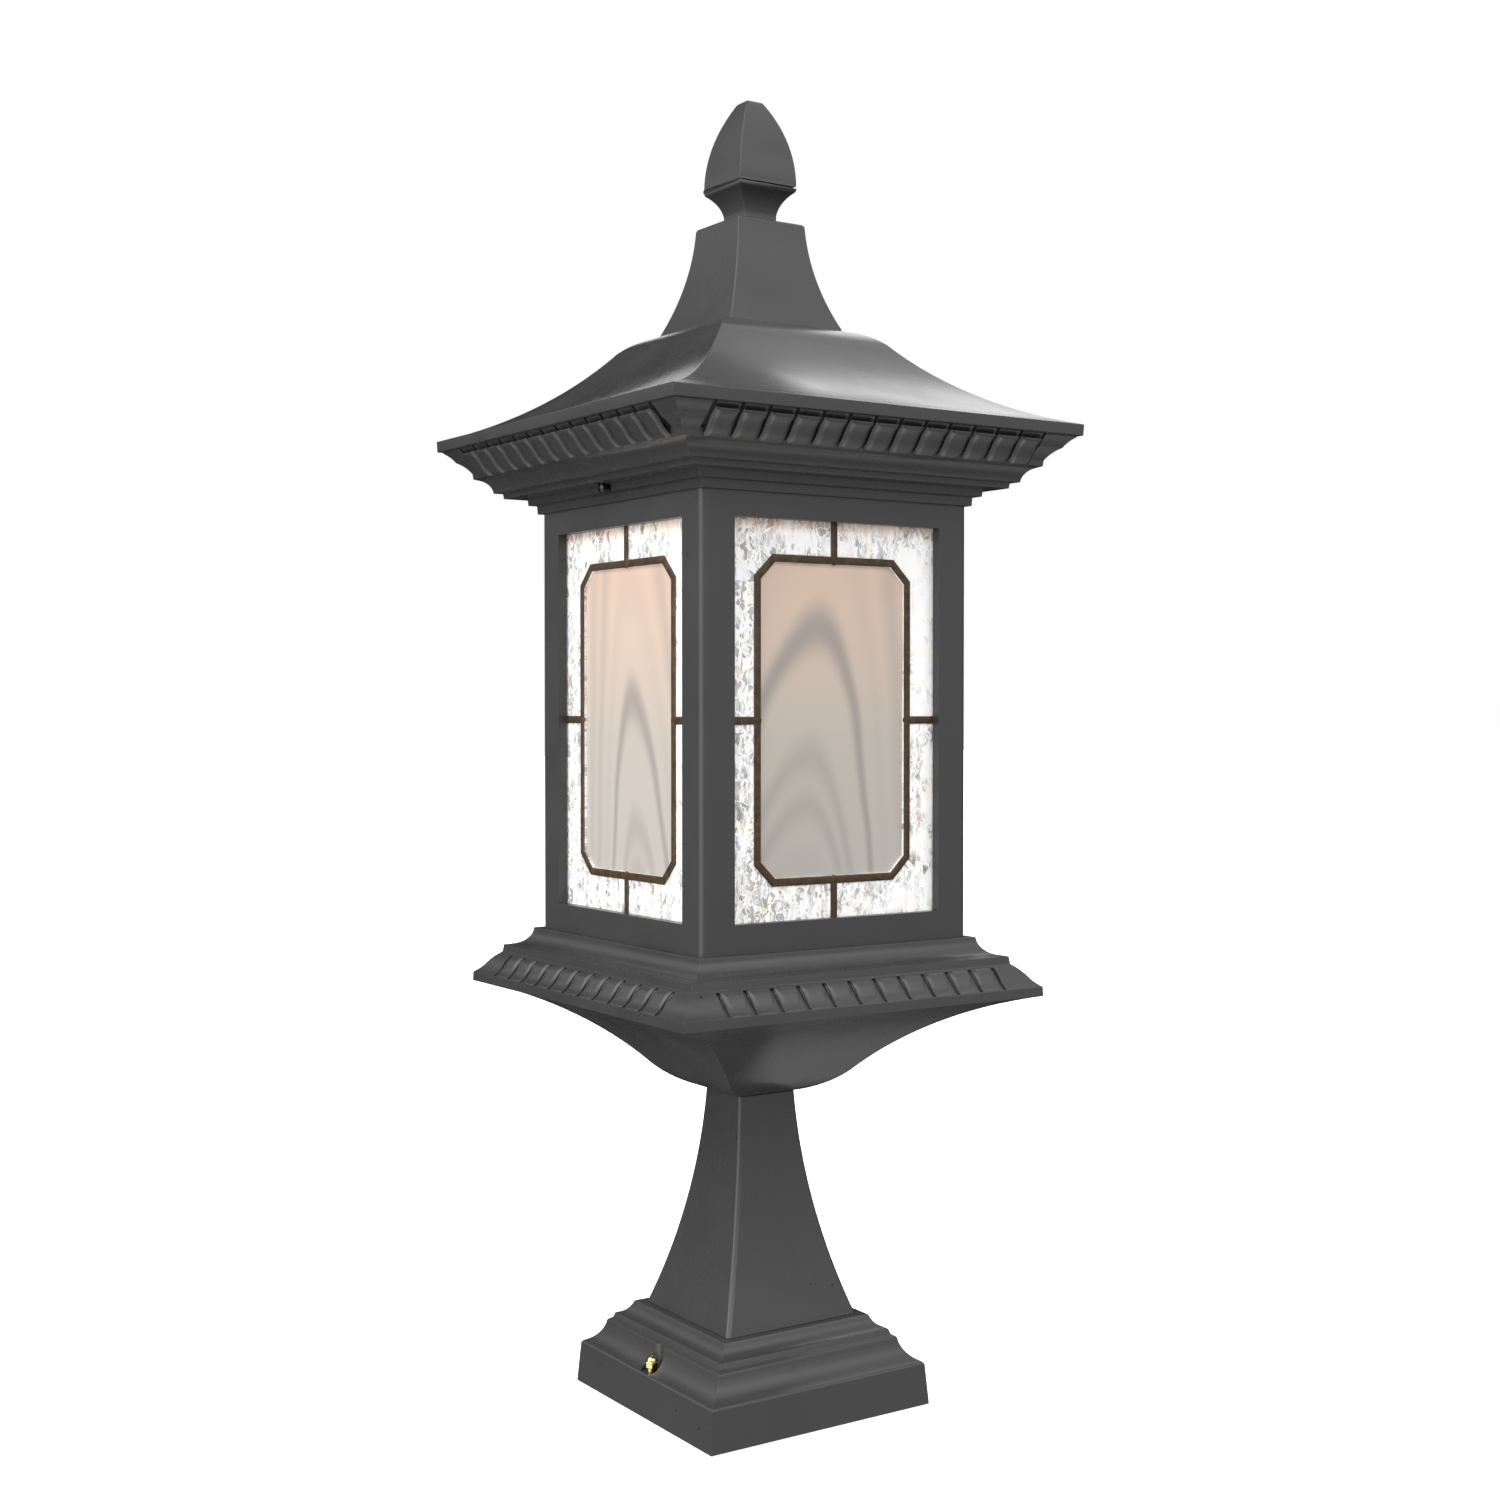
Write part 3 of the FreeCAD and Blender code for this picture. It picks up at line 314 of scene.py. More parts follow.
def welded(node):
    """A clean copy of a CAD node's mesh: corners joined, each flat area made one face.

    A flat area with a hole in it can't be one face, so the castings are parted at the windows'
    middle height, and any other area with a hole keeps its triangles.
    """
    bm = bmesh.new()
    bm.from_mesh(frame["nodes"][node].data)
    bmesh.ops.remove_doubles(bm, verts=bm.verts, dist=1e-6)
    bmesh.ops.bisect_plane(bm, geom=bm.verts[:] + bm.edges[:] + bm.faces[:],
                           plane_co=(0, 0, PANEL_MIDDLE), plane_no=(0, 0, 1))
    parting = {edge for edge in bm.edges if all(abs(v.co.z - PANEL_MIDDLE) < 1e-6 for v in edge.verts)}
    flat = math.radians(0.5)
    seen = set()
    areas = []
    for first in bm.faces:
        if first in seen:
            continue
        seen.add(first)
        area = [first]
        for face in area:
            for edge in face.edges:
                if edge in parting or edge.calc_face_angle(math.pi) > flat:
                    continue
                for other in edge.link_faces:
                    if other not in seen:
                        seen.add(other)
                        area.append(other)
        areas.append(area)
    for area in areas:
        corners = {vert for face in area for vert in face.verts}
        sides = {edge for face in area for edge in face.edges}
        if len(area) > 1 and len(corners) - len(sides) + len(area) == 1:
            bmesh.utils.face_join(area, True)
    for vert in list(bm.verts):
        if vert.is_valid and len(vert.link_edges) == 2:
            one, two = (edge.other_vert(vert).co - vert.co for edge in vert.link_edges)
            if one.angle(-two, 0.0) < flat:
                bmesh.utils.vert_dissolve(vert)
    mesh = bpy.data.meshes.new(node + "_welded")
    bm.to_mesh(mesh)
    bm.free()
    return mesh


def rounded(node, width, segments=2, angle=28.0):
    """A welded copy with its sharp edges rounded and its curved faces shaded smooth."""
    mesh = welded(node)
    mesh.shade_smooth()
    helper = bpy.data.objects.new(node + "_rounding", mesh)
    bpy.context.scene.collection.objects.link(helper)
    if width > 0:
        bevel = helper.modifiers.new("Rounding", "BEVEL")
        bevel.width = width
        bevel.segments = segments
        bevel.limit_method = "ANGLE"
        bevel.angle_limit = math.radians(angle)
        bevel.use_clamp_overlap = True
        bevel.miter_outer = "MITER_ARC"
    weighted = helper.modifiers.new("Flat faces stay flat", "WEIGHTED_NORMAL")
    weighted.keep_sharp = True
    weighted.weight = 60
    made = plain_mesh(helper)
    bpy.data.objects.remove(helper)
    made.set_sharp_from_angle(angle=math.radians(40.0))
    return made


# ---------------------------------------------------------------- materials
def powder_coat(name, tint, roughness):
    """Polyester powder coat on cast aluminium, sprayed and baked.

    It gives the eye a satin charcoal skin with faint orange peel and a few small pits
    where the casting's pores show through.
    """
    made, tree, shader = new_material(name, Metallic=0.0, IOR=1.5)
    where = object_coords(tree)
    cloud = clouds(tree, where, per_metre(38), 3.0)
    tone = ramp(tree, cloud, [
        (0.25, tuple(c * 0.93 for c in linear(tint))[:3] + (1.0,)),
        (0.75, tuple(c * 1.05 for c in linear(tint))[:3] + (1.0,))])
    # pores: one in three cells of 17 mm holds a pit of about 0.8 mm radius; the pit is real and sunk by
    # the bump, and its near-black colour is painted shade inside it
    cells = add(tree, "ShaderNodeTexVoronoi", {"Vector": where, "Scale": per_metre(17), "Randomness": 1.0})
    near = calc(tree, "LESS_THAN", cells.outputs["Distance"], 0.048)
    picked = add(tree, "ShaderNodeSeparateColor", {"Color": cells.outputs["Color"]})
    some = calc(tree, "GREATER_THAN", picked.outputs["Red"], 0.62)
    pit = calc(tree, "MULTIPLY", near, some)
    pitted_with_painted_shade = blend(tree, pit, tone.outputs["Color"], linear("141414"))
    feed(tree, shader, Base_Color=pitted_with_painted_shade)
    # orange peel of a baked coat, about 1.6 mm across; drawn a little coarser than the real 1 mm
    peel = clouds(tree, where, per_metre(1.6), 1.0)
    sheen = remap(tree, cloud, 0.3, 0.7, roughness - 0.03, roughness + 0.04)
    feed(tree, shader, Roughness=sheen)
    # the casting under the coat is not quite true: waves of about 25 mm
    wave = clouds(tree, where, per_metre(25), 1.0)
    soft = relief(tree, wave, 0.12, 0.9 * MM)
    fine = relief(tree, peel, 0.05, 0.12 * MM, soft)
    sunk = relief(tree, pit, 0.6, 0.3 * MM, fine, invert=True)
    feed(tree, shader, Normal=sunk)
    return made


def lead_strip(finish):
    """Lead strip, drawn through a die and darkened with a bronze patina.

    It gives the eye a dull brown line with faint lengthways marks and worn lighter spots.
    """
    made, tree, shader = new_material("lead_strip", Metallic=0.35, IOR=1.5)
    where = object_coords(tree)
    blotch = clouds(tree, where, per_metre(5), 4.0)
    tone = ramp(tree, blotch, [
        (0.3, linear("3a2c1d")), (0.55, linear(finish.strip)), (0.8, linear("63502f"))])
    feed(tree, shader, Base_Color=tone.outputs["Color"])
    rough = remap(tree, blotch, 0.0, 1.0, 0.42, 0.62)
    feed(tree, shader, Roughness=rough)
    dents = clouds(tree, where, per_metre(1.3), 2.0)
    bump = relief(tree, dents, 0.3, 0.15 * MM)
    feed(tree, shader, Normal=bump)
    return made


def sheet_coords(tree):
    """The window's own coordinates in millimetres: across, and up from its middle."""
    uv = add(tree, "ShaderNodeUVMap", uv_map="sheet")
    scaled = add(tree, "ShaderNodeVectorMath", {0: uv.outputs["UV"], 1: (1000.0, 1000.0, 1.0)},
                 operation="MULTIPLY")
    parts = add(tree, "ShaderNodeSeparateXYZ", {"Vector": scaled.outputs["Vector"]})
    return scaled.outputs["Vector"], parts.outputs["X"], parts.outputs["Y"]


def band(tree, value, centre, half_width):
    """A soft stripe: 1 where the value is at the centre, 0 at half_width from it."""
    away = calc(tree, "SUBTRACT", value, centre)
    size = calc(tree, "ABSOLUTE", away)
    return ease(tree, size, 0.0, half_width, 1.0, 0.0)


def opal_glass(finish):
    """Opalescent sheet glass, rolled hot with white and clear glass stirred together.

    It gives the eye a milky pane with soft nested arches; painted lamp light makes it warm at the
    top, where the lamp is behind it, and a little darker at its foot, and it has a faint painted glow.
    """
    made, tree, shader = new_material("opal_glass", Metallic=0.0, Roughness=0.16, IOR=1.5)
    where, across, up = sheet_coords(tree)
    true_up = calc(tree, "MULTIPLY_ADD", add(tree, "ShaderNodeSeparateXYZ", {
        "Vector": object_coords(tree)}).outputs["Z"], 1000.0, -1000.0 * PANEL_MIDDLE)
    stir = clouds(tree, where, 1 / 70, 1.0)
    drift = remap(tree, stir, 0.0, 1.0, 4.0, 12.0)
    lean = calc(tree, "MULTIPLY_ADD", up, -0.08, across)
    middle = calc(tree, "ADD", lean, drift)
    # the left leg of every arch spreads a third wider than the right one
    away = calc(tree, "ABSOLUTE", middle)
    even = calc(tree, "MULTIPLY", middle, 0.875)
    uneven = calc(tree, "MULTIPLY_ADD", away, 0.125, even)
    square = calc(tree, "POWER", uneven, 2.0)
    arch = calc(tree, "MULTIPLY_ADD", square, 1 / 16.0, up)
    shade = None
    # arches: height of the middle of each swirl, its half width and its depth of tone
    for centre, half, depth in ((54, 22, 0.9), (-17, 19, 0.5), (-44, 17, 0.5), (-78, 30, 0.25),
                                (120, 36, 0.12), (216, 60, 0.35), (330, 90, 0.30), (520, 120, 0.35)):
        stripe = calc(tree, "MULTIPLY", band(tree, arch, centre, half), depth)
        shade = stripe if shade is None else calc(tree, "ADD", shade, stripe, clamp=True)
    # painted lamp light: the ground colour runs from a darker foot to a warm top, as if lit by the lamp
    # behind
    rise = remap(tree, true_up, -90.0, 90.0)
    ground = ramp(tree, rise, [
        (0.0, linear(finish.pane_painted_foot_shade)), (0.45, linear(finish.pane)), (1.0, linear(finish.pane_painted_lamp_light))])
    swirled = blend(tree, shade, ground.outputs["Color"], linear(finish.pane_shade))
    feed(tree, shader, Base_Color=swirled, Emission_Color=swirled)
    # painted glow: the pane's colour, with its painted lamp light, is also given off as faint light
    shader.inputs["Emission Strength"].default_value = 0.02
    wavy = clouds(tree, where, 1 / 14, 1.0)
    bump = relief(tree, wavy, 0.15, 0.4 * MM)
    feed(tree, shader, Normal=bump)
    return made


def chipped_glass():
    """Clear art glass with a chipped, feathery face.

    It gives the eye brilliant white with grey feathers, because every facet throws the lamp's
    and the sky's light a different way: the grey feathers are painted reflections, the hint of
    peach under the top edge is painted lamp light, and the sheet has a painted glow.
    """
    made, tree, shader = new_material("chipped_glass", Metallic=0.0, Roughness=0.12, IOR=1.5)
    where, across, up = sheet_coords(tree)
    # each window's middle line comes back every 310 mm, because each was cut from its own stretch
    side = calc(tree, "WRAP", across, 155.0, -155.0)
    sway = add(tree, "ShaderNodeTexNoise", {"Vector": where, "Scale": 1 / 9, "Detail": 2.0})
    sway = add(tree, "ShaderNodeVectorMath", {0: sway.outputs["Color"], "Scale": 7.0}, operation="SCALE")
    swayed = add(tree, "ShaderNodeVectorMath", {0: where, 1: sway.outputs["Vector"]}, operation="ADD")
    # broad washes of about 22 mm decide where the painted grey reflections show: mostly left, and along
    # the foot
    wash = clouds(tree, where, 1 / 22, 2.0)
    leftish = calc(tree, "MULTIPLY_ADD", side, -0.0016, wash)
    lowish = remap(tree, up, -108.0, -60.0, 0.10, 0.0)
    place = calc(tree, "ADD", leftish, lowish)
    shown = ease(tree, place, 0.36, 0.54, 0.15, 1.0)
    # painted reflections: feathers in tall narrow cells with bright rims, some painted grey and some clear
    painted_reflection_pattern = None
    for wide, tall, dark in ((4.6, 15.0, 0.44), (1.6, 9.0, 0.58)):
        cell = add(tree, "ShaderNodeMapping", {"Vector": swayed.outputs["Vector"],
                                               "Scale": (1 / wide, 1 / tall, 1.0)})
        tone = add(tree, "ShaderNodeTexVoronoi", {"Vector": cell.outputs["Vector"], "Scale": 1.0})
        rim = add(tree, "ShaderNodeTexVoronoi", {"Vector": cell.outputs["Vector"], "Scale": 1.0},
                  feature="DISTANCE_TO_EDGE")
        fill = ease(tree, rim.outputs["Distance"], 0.02, 0.15)
        pick = add(tree, "ShaderNodeSeparateColor", {"Color": tone.outputs["Color"]})
        strong = remap(tree, pick.outputs["Red"], 0.25, 0.9)
        painted_grey_part = calc(tree, "MULTIPLY", fill, strong)
        masked = calc(tree, "MULTIPLY", painted_grey_part, shown)
        layer = blend(tree, masked, grey(1.0), grey(dark))
        painted_reflection_pattern = layer if painted_reflection_pattern is None else blend(tree, 1.0, painted_reflection_pattern, layer, "MULTIPLY")
    # painted lamp light: short peach drips hang from the top edge, where the lamp's light comes through
    drips = add(tree, "ShaderNodeMapping", {"Vector": where, "Scale": (1 / 2.4, 1 / 14.0, 1.0)})
    drip = clouds(tree, drips.outputs["Vector"], 1.0, 2.0)
    hang = calc(tree, "MULTIPLY_ADD", drip, 34.0, up)
    painted_lamp_warmth = ease(tree, hang, 116.0, 130.0, 0.0, 0.85)
    # the clear parts pick up a breath of yellow and rose
    blush = clouds(tree, where, 1 / 16, 1.0)
    hint = ramp(tree, blush, [
        (0.35, linear("fffdf4")), (0.48, grey(1.0)), (0.56, grey(1.0)), (0.7, linear("fdf6f4"))])
    blush_and_painted_lamp_light = blend(tree, painted_lamp_warmth, hint.outputs["Color"], linear("f4d6be"))
    final = blend(tree, 1.0, painted_reflection_pattern, blush_and_painted_lamp_light, "MULTIPLY")
    feed(tree, shader, Base_Color=final, Emission_Color=final)
    # painted glow: the sheet's colour, with its painted reflections and lamp light, is also given off as
    # light
    shader.inputs["Emission Strength"].default_value = 0.12
    facets = add(tree, "ShaderNodeTexVoronoi", {"Vector": swayed.outputs["Vector"], "Scale": 1 / 2.6},
                 feature="SMOOTH_F1")
    bump = relief(tree, facets.outputs["Distance"], 0.5, 0.4 * MM)
    feed(tree, shader, Normal=bump)
    return made


def bare_metal(name, light, dark, roughness, mark_mm, streak=1.0):
    """Bare or plated metal, turned or pressed: a bright reflection broken by fine tool marks."""
    made, tree, shader = new_material(name, Metallic=1.0)
    where = object_coords(tree)
    stretched = add(tree, "ShaderNodeMapping", {"Vector": where, "Scale": (1.0, 1.0, streak)})
    marks = clouds(tree, stretched.outputs["Vector"], per_metre(mark_mm), 4.0)
    tone = ramp(tree, marks, [(0.3, linear(dark)), (0.7, linear(light))])
    feed(tree, shader, Base_Color=tone.outputs["Color"])
    rough = remap(tree, marks, 0.0, 1.0, roughness * 0.8, roughness * 1.3)
    feed(tree, shader, Roughness=rough)
    bump = relief(tree, marks, 0.15, 0.1 * MM)
    feed(tree, shader, Normal=bump)
    return made


def moulded(name, colour, shade, roughness, grain_mm, glow=0.0):
    """Glazed, moulded or lacquered stuff: an even skin with a slight change of tone."""
    made, tree, shader = new_material(name, Metallic=0.0, IOR=1.5)
    where = object_coords(tree)
    grain = clouds(tree, where, per_metre(grain_mm), 3.0)
    tone = ramp(tree, grain, [(0.3, linear(shade)), (0.7, linear(colour))])
    feed(tree, shader, Base_Color=tone.outputs["Color"])
    rough = remap(tree, grain, 0.0, 1.0, roughness * 0.85, roughness * 1.2)
    feed(tree, shader, Roughness=rough)
    bump = relief(tree, grain, 0.1, 0.1 * MM)
    feed(tree, shader, Normal=bump)
    if glow:
        feed(tree, shader, Emission_Color=tone.outputs["Color"])
        shader.inputs["Emission Strength"].default_value = glow
    return made


# ---------------------------------------------------------------- castings and hardware
CASTINGS = {"pier_base": 1.0, "stem": 1.0, "bowl": 1.1, "tray": 0.6, "cage": 0.6, "cornice": 0.6,
            "roof_cap": 1.0, "spire": 1.1, "finial": 0.9}


def body_of_node(node):
    return next(body for body, nodes in frame["record"]["behaviour"]["bodies"].items() if node in nodes)


class LANTERN_OT_castings(bpy.types.Operator):
    """Round the castings' edges and coat them."""

    bl_idname = "lantern.castings"
    bl_label = "Castings"

    def execute(self, context):
        finish = context.scene.lantern_finish
        coat = powder_coat("satin_powder_coat", finish.coat, finish.coat_roughness)
        # the cage's flat posts took the coat drier, so they look a little more matt
        matt = powder_coat("matt_powder_coat", finish.coat, finish.coat_roughness + 0.10)
        for node, share in CASTINGS.items():
            mesh = rounded(node, finish.rounding * share)
            finish_piece(node + "_cast", mesh, matt if node == "cage" else coat, body_of_node(node),
                         [node])
        return {"FINISHED"}


class LANTERN_OT_fixings(bpy.types.Operator):
    """Finish the fixings, the tube and the roof's tie."""

    bl_idname = "lantern.fixings"
    bl_label = "Fixings"

    def execute(self, context):
        # polished and lacquered brass: warm, mirror-like, hardly any marks
        brass = bare_metal("polished_brass", "d9cb98", "a89a68", 0.12, 1.2)
        # bright zinc plate: pale grey with a soft spangle
        zinc = bare_metal("zinc_plate", "b9bcc0", "8f9296", 0.34, 3.0, 0.4)
        # blackened steel: near black with a slight oil sheen
        black = bare_metal("blackened_steel", "55565a", "2f3032", 0.38, 1.5)
        green = moulded("green_lacquer", "2f7d4a", "226038", 0.35, 2.0)
        pieces = {
            brass: {"cap_nut_left": 0.25, "cap_nut_right": 0.25, "centre_contact": 0.1},
            zinc: {"mounting_strap": 0.3, "mounting_studs": 0.1, "stud_nuts": 0.25, "centre_tube": 0.2,
                   "tube_nuts": 0.4, "tube_washers": 0.2, "corner_clips": 0.15, "tie_rod": 0.3,
                   "tie_bar": 0.5, "tie_nuts": 0.3},
            black: {"cage_screws": 0.2, "clip_screws": 0.2, "cornice_screws": 0.2,
                    "roof_screw_left": 0.2, "roof_screw_right": 0.2, "terminal_screw": 0.2},
            green: {"ground_screw": 0.25},
        }
        for material, nodes in pieces.items():
            for node, width in nodes.items():
                finish_piece(node + "_fixing", rounded(node, width * MM), material, body_of_node(node),
                             [node])
        return {"FINISHED"}


class LANTERN_OT_lamp(bpy.types.Operator):
    """Finish the lamp, its holder and the wiring."""

    bl_idname = "lantern.lamp"
    bl_label = "Lamp and holder"

    def execute(self, context):
        pieces = {
            # inside-frosted lamp glass, lit: an even warm glow
            "lamp_glass": (moulded("frosted_glass", "fff0d8", "ffe8c8", 0.3, 20.0, glow=3.0), 0.0),
            "lamp_cap": (bare_metal("nickel_cap", "c9c8c2", "a9a8a2", 0.22, 1.5), 0.3),
            "screw_shell": (bare_metal("nickel_shell", "c9c8c2", "a9a8a2", 0.25, 1.5), 0.1),
            # glazed porcelain: thick white with a wet shine
            "lampholder": (moulded("porcelain", "f2f0ea", "e6e3da", 0.12, 14.0), 0.6),
            "socket_cup": (bare_metal("satin_brass", "b2935a", "8d7040", 0.3, 2.0), 0.25),
            # painted card tube: satin off-white
            "candle_sleeve": (moulded("sleeve_white", "ebe7dc", "ddd8ca", 0.45, 9.0), 0.3),
            # smooth PVC insulation
            "leads": (moulded("wire_insulation", "2a2a2b", "1d1d1e", 0.4, 3.0), 0.0),
            "terminal_block": (moulded("terminal_ivory", "e4e0d2", "d6d1c0", 0.4, 4.0), 0.4),
        }
        for node, (material, width) in pieces.items():
            finish_piece(node + "_part", rounded(node, width * MM), material, body_of_node(node),
                         [node])
        return {"FINISHED"}


# ---------------------------------------------------------------- carved bands
def bead_tree(name):
    """Geometry Nodes: cushions in a row along one side of a band, then all four sides."""
    tree = bpy.data.node_groups.new(name, "GeometryNodeTree")
    face = tree.interface
    face.new_socket("Geometry", in_out="OUTPUT", socket_type="NodeSocketGeometry")
    kinds = {"Count": "NodeSocketInt", "Band middle": "NodeSocketVector", "Material": "NodeSocketMaterial"}
    for label in ("Count", "Pitch", "Bead width", "Bead length", "Puff", "Edge drop", "Swell", "Slope",
                  "Band middle", "Material"):
        face.new_socket(label, in_out="INPUT", socket_type=kinds.get(label, "NodeSocketFloat"))
    given = add(tree, "NodeGroupInput").outputs
    grid = add(tree, "GeometryNodeMeshGrid",
               {"Size X": 2.0, "Size Y": 2.0, "Vertices X": 17, "Vertices Y": 21})
    # each bead is a square from -1 to 1; its height falls into the grooves, and a little at its ends
    at = add(tree, "GeometryNodeInputPosition")
    part = add(tree, "ShaderNodeSeparateXYZ", {0: at.outputs[0]})
    falls = []
    for axis, power in (("X", 9.0), ("Y", 40.0)):
        size = calc(tree, "ABSOLUTE", part.outputs[axis])
        falls.append(calc(tree, "POWER", size, power))
    crown = calc(tree, "MULTIPLY_ADD", falls[1], END_DROP, given["Puff"])
    height = remap(tree, falls[0], 0.0, 1.0, crown, given["Edge drop"])
    # along the band the face swells at its upper end and hollows at its lower end, or the reverse
    turn = calc(tree, "MULTIPLY", part.outputs["Y"], math.pi)
    wave = calc(tree, "SINE", turn)
    height = calc(tree, "MULTIPLY_ADD", wave, given["Swell"], height)
    hw = calc(tree, "MULTIPLY", given["Bead width"], 0.5)
    hl = calc(tree, "MULTIPLY", given["Bead length"], 0.5)
    x = calc(tree, "MULTIPLY", part.outputs["X"], hw)
    y = calc(tree, "MULTIPLY", part.outputs["Y"], hl)
    place = add(tree, "ShaderNodeCombineXYZ", {"X": x, "Y": y, "Z": height})
    shaped = add(tree, "GeometryNodeSetPosition",
                 {"Geometry": grid.outputs["Mesh"], "Position": place.outputs[0]})
    # tipped so that its face looks out of the front of the band
    tip = add(tree, "ShaderNodeCombineXYZ", {"X": given["Slope"]})
    tipped = add(tree, "GeometryNodeTransform", {"Geometry": shaped.outputs["Geometry"],
                                                 "Translation": given["Band middle"],
                                                 "Rotation": tip.outputs[0]})
    # a row of places, centred on the side's middle
    less = calc(tree, "SUBTRACT", given["Count"], 1.0)
    span = calc(tree, "MULTIPLY", less, given["Pitch"])
    start = calc(tree, "MULTIPLY", span, -0.5)
    first = add(tree, "ShaderNodeCombineXYZ", {"X": start})
    step = add(tree, "ShaderNodeCombineXYZ", {"X": given["Pitch"]})
    row = add(tree, "GeometryNodeMeshLine", {"Count": given["Count"], "Start Location": first.outputs[0],
                                             "Offset": step.outputs[0]})
    beads = add(tree, "GeometryNodeInstanceOnPoints", {"Points": row.outputs["Mesh"],
                                                       "Instance": tipped.outputs["Geometry"]})
    side = add(tree, "GeometryNodeRealizeInstances", {"Geometry": beads.outputs["Instances"]})
    joined = add(tree, "GeometryNodeJoinGeometry")
    for quarter in range(4):
        turn = add(tree, "GeometryNodeTransform", {"Geometry": side.outputs["Geometry"],
                                                   "Rotation": (0.0, 0.0, quarter * math.pi / 2)})
        tree.links.new(turn.outputs["Geometry"], joined.inputs["Geometry"])
    smooth = add(tree, "GeometryNodeSetShadeSmooth", {"Geometry": joined.outputs["Geometry"]})
    real = add(tree, "GeometryNodeRealizeInstances", {"Geometry": smooth.outputs["Geometry"]})
    done = add(tree, "GeometryNodeSetMaterial", {"Geometry": real.outputs["Geometry"],
                                                 "Material": given["Material"]})
    add(tree, "NodeGroupOutput", {"Geometry": done.outputs["Geometry"]})
    return tree


def run_tree(tree, values):
    """Runs a Geometry Nodes tree on an empty mesh and returns the plain mesh it makes."""
    helper = bpy.data.objects.new(tree.name + "_run", bpy.data.meshes.new(tree.name + "_run"))
    modifier = helper.modifiers.new("Nodes", "NODES")
    modifier.node_group = tree
    for item in tree.interface.items_tree:
        if item.item_type == "SOCKET" and item.in_out == "INPUT" and item.name in values:
            modifier[item.identifier] = values[item.name]
    bpy.context.scene.collection.objects.link(helper)
    mesh = plain_mesh(helper)
    bpy.data.objects.remove(helper)
    return mesh


class LANTERN_OT_beads(bpy.types.Operator):
    """Lay the rounded beads on the carved bands of the tray and the cornice."""

    bl_idname = "lantern.beads"
    bl_label = "Carved beads"

    def execute(self, context):
        beads = context.scene.lantern_beads
        coat = bpy.data.materials["satin_powder_coat"]
        tree = bead_tree("Carved band")
        eave_half = -EAVE.x
        bands = {
            # inner and outer edge of each band, as half-width and height; beads; swell at the upper end
            "cornice_beads": ((eave_half - 16.0 * MM, EAVE.z - 13.4 * MM),
                              (eave_half - 3.0 * MM, EAVE.z - 0.8 * MM), 13, -0.6 * MM, "roof", "cornice"),
            "tray_beads": ((CAGE_TOP_EDGE + 18.8 * MM, TRAY_TOP - 15.7 * MM),
                           (CAGE_TOP_EDGE + 31.2 * MM, TRAY_TOP - 27.8 * MM),
                           11, 0.9 * MM, "lantern", "tray"),
        }
        for name, (inner, outer, count, swell, body, node) in bands.items():
            run, rise = outer[0] - inner[0], outer[1] - inner[1]
            length = math.hypot(run, rise)
            down_or_up = math.atan2(rise, run)
            slope = math.pi - down_or_up if rise > 0 else -down_or_up
            middle = (0.0, -(inner[0] + outer[0]) / 2, (inner[1] + outer[1]) / 2)
            mesh = run_tree(tree, {
                "Count": count, "Pitch": beads.pitch, "Bead width": beads.pitch - beads.groove * 0.75,
                "Bead length": length * 1.04, "Puff": beads.puff, "Edge drop": GROOVE_DROP, "Swell": swell,
                "Slope": slope, "Band middle": middle, "Material": coat})
            finish_piece(name, mesh, coat, body, [])
        return {"FINISHED"}


# ---------------------------------------------------------------- leaded windows
def on_side(x, depth, z, angle):
    """A point of the front window, at a depth outwards from the axis, turned to its side."""
    a = math.radians(angle)
    return Vector((x * math.cos(a) + depth * math.sin(a), x * math.sin(a) - depth * math.cos(a), z))


def octagon(inset, cut):
    """Corners of the octagon, moved in from the lead strip's middle line."""
    hw, hh = PANE_HALF - inset, PANE_HALF_H - inset
    c = cut - inset * (2 - math.sqrt(2))
    return [(hw - c, hh), (-hw + c, hh), (-hw, hh - c), (-hw, -hh + c),
            (-hw + c, -hh), (hw - c, -hh), (hw, -hh + c), (hw, hh - c)]


def inside_octagon(x, z, inset, cut):
    hw, hh = PANE_HALF - inset, PANE_HALF_H - inset
    c = cut - inset * (2 - math.sqrt(2))
    return abs(x) < hw and abs(z) < hh and abs(x) + abs(z) < hw + hh - c


def bridge(bm, rings):
    """Quads between rings of vertices, each ring closed."""
    for a, b in zip(rings, rings[1:]):
        for i in range(len(a)):
            j = (i + 1) % len(a)
            bm.faces.new((a[i], a[j], b[j], b[i]))


def closed_mesh(bm, name, smooth_to=0.0):
    """The finished mesh; edges sharper than smooth_to degrees stay sharp."""
    bmesh.ops.remove_doubles(bm, verts=bm.verts, dist=1e-7)
    bmesh.ops.recalc_face_normals(bm, faces=bm.faces)
    mesh = bpy.data.meshes.new(name)
    bm.to_mesh(mesh)
    bm.free()
    if smooth_to:
        mesh.shade_smooth()
        mesh.set_sharp_from_angle(angle=math.radians(smooth_to))
    return mesh


def strip_profile(window):
    """Half of the strip's section: distance from its middle line, height over the glass."""
    w, r = window.strip_width / 2, window.strip_rise
    return [(w, 0.0), (w * 0.97, r * 0.45), (w * 0.86, r * 0.72), (w * 0.6, r * 0.92), (0.0, r)]


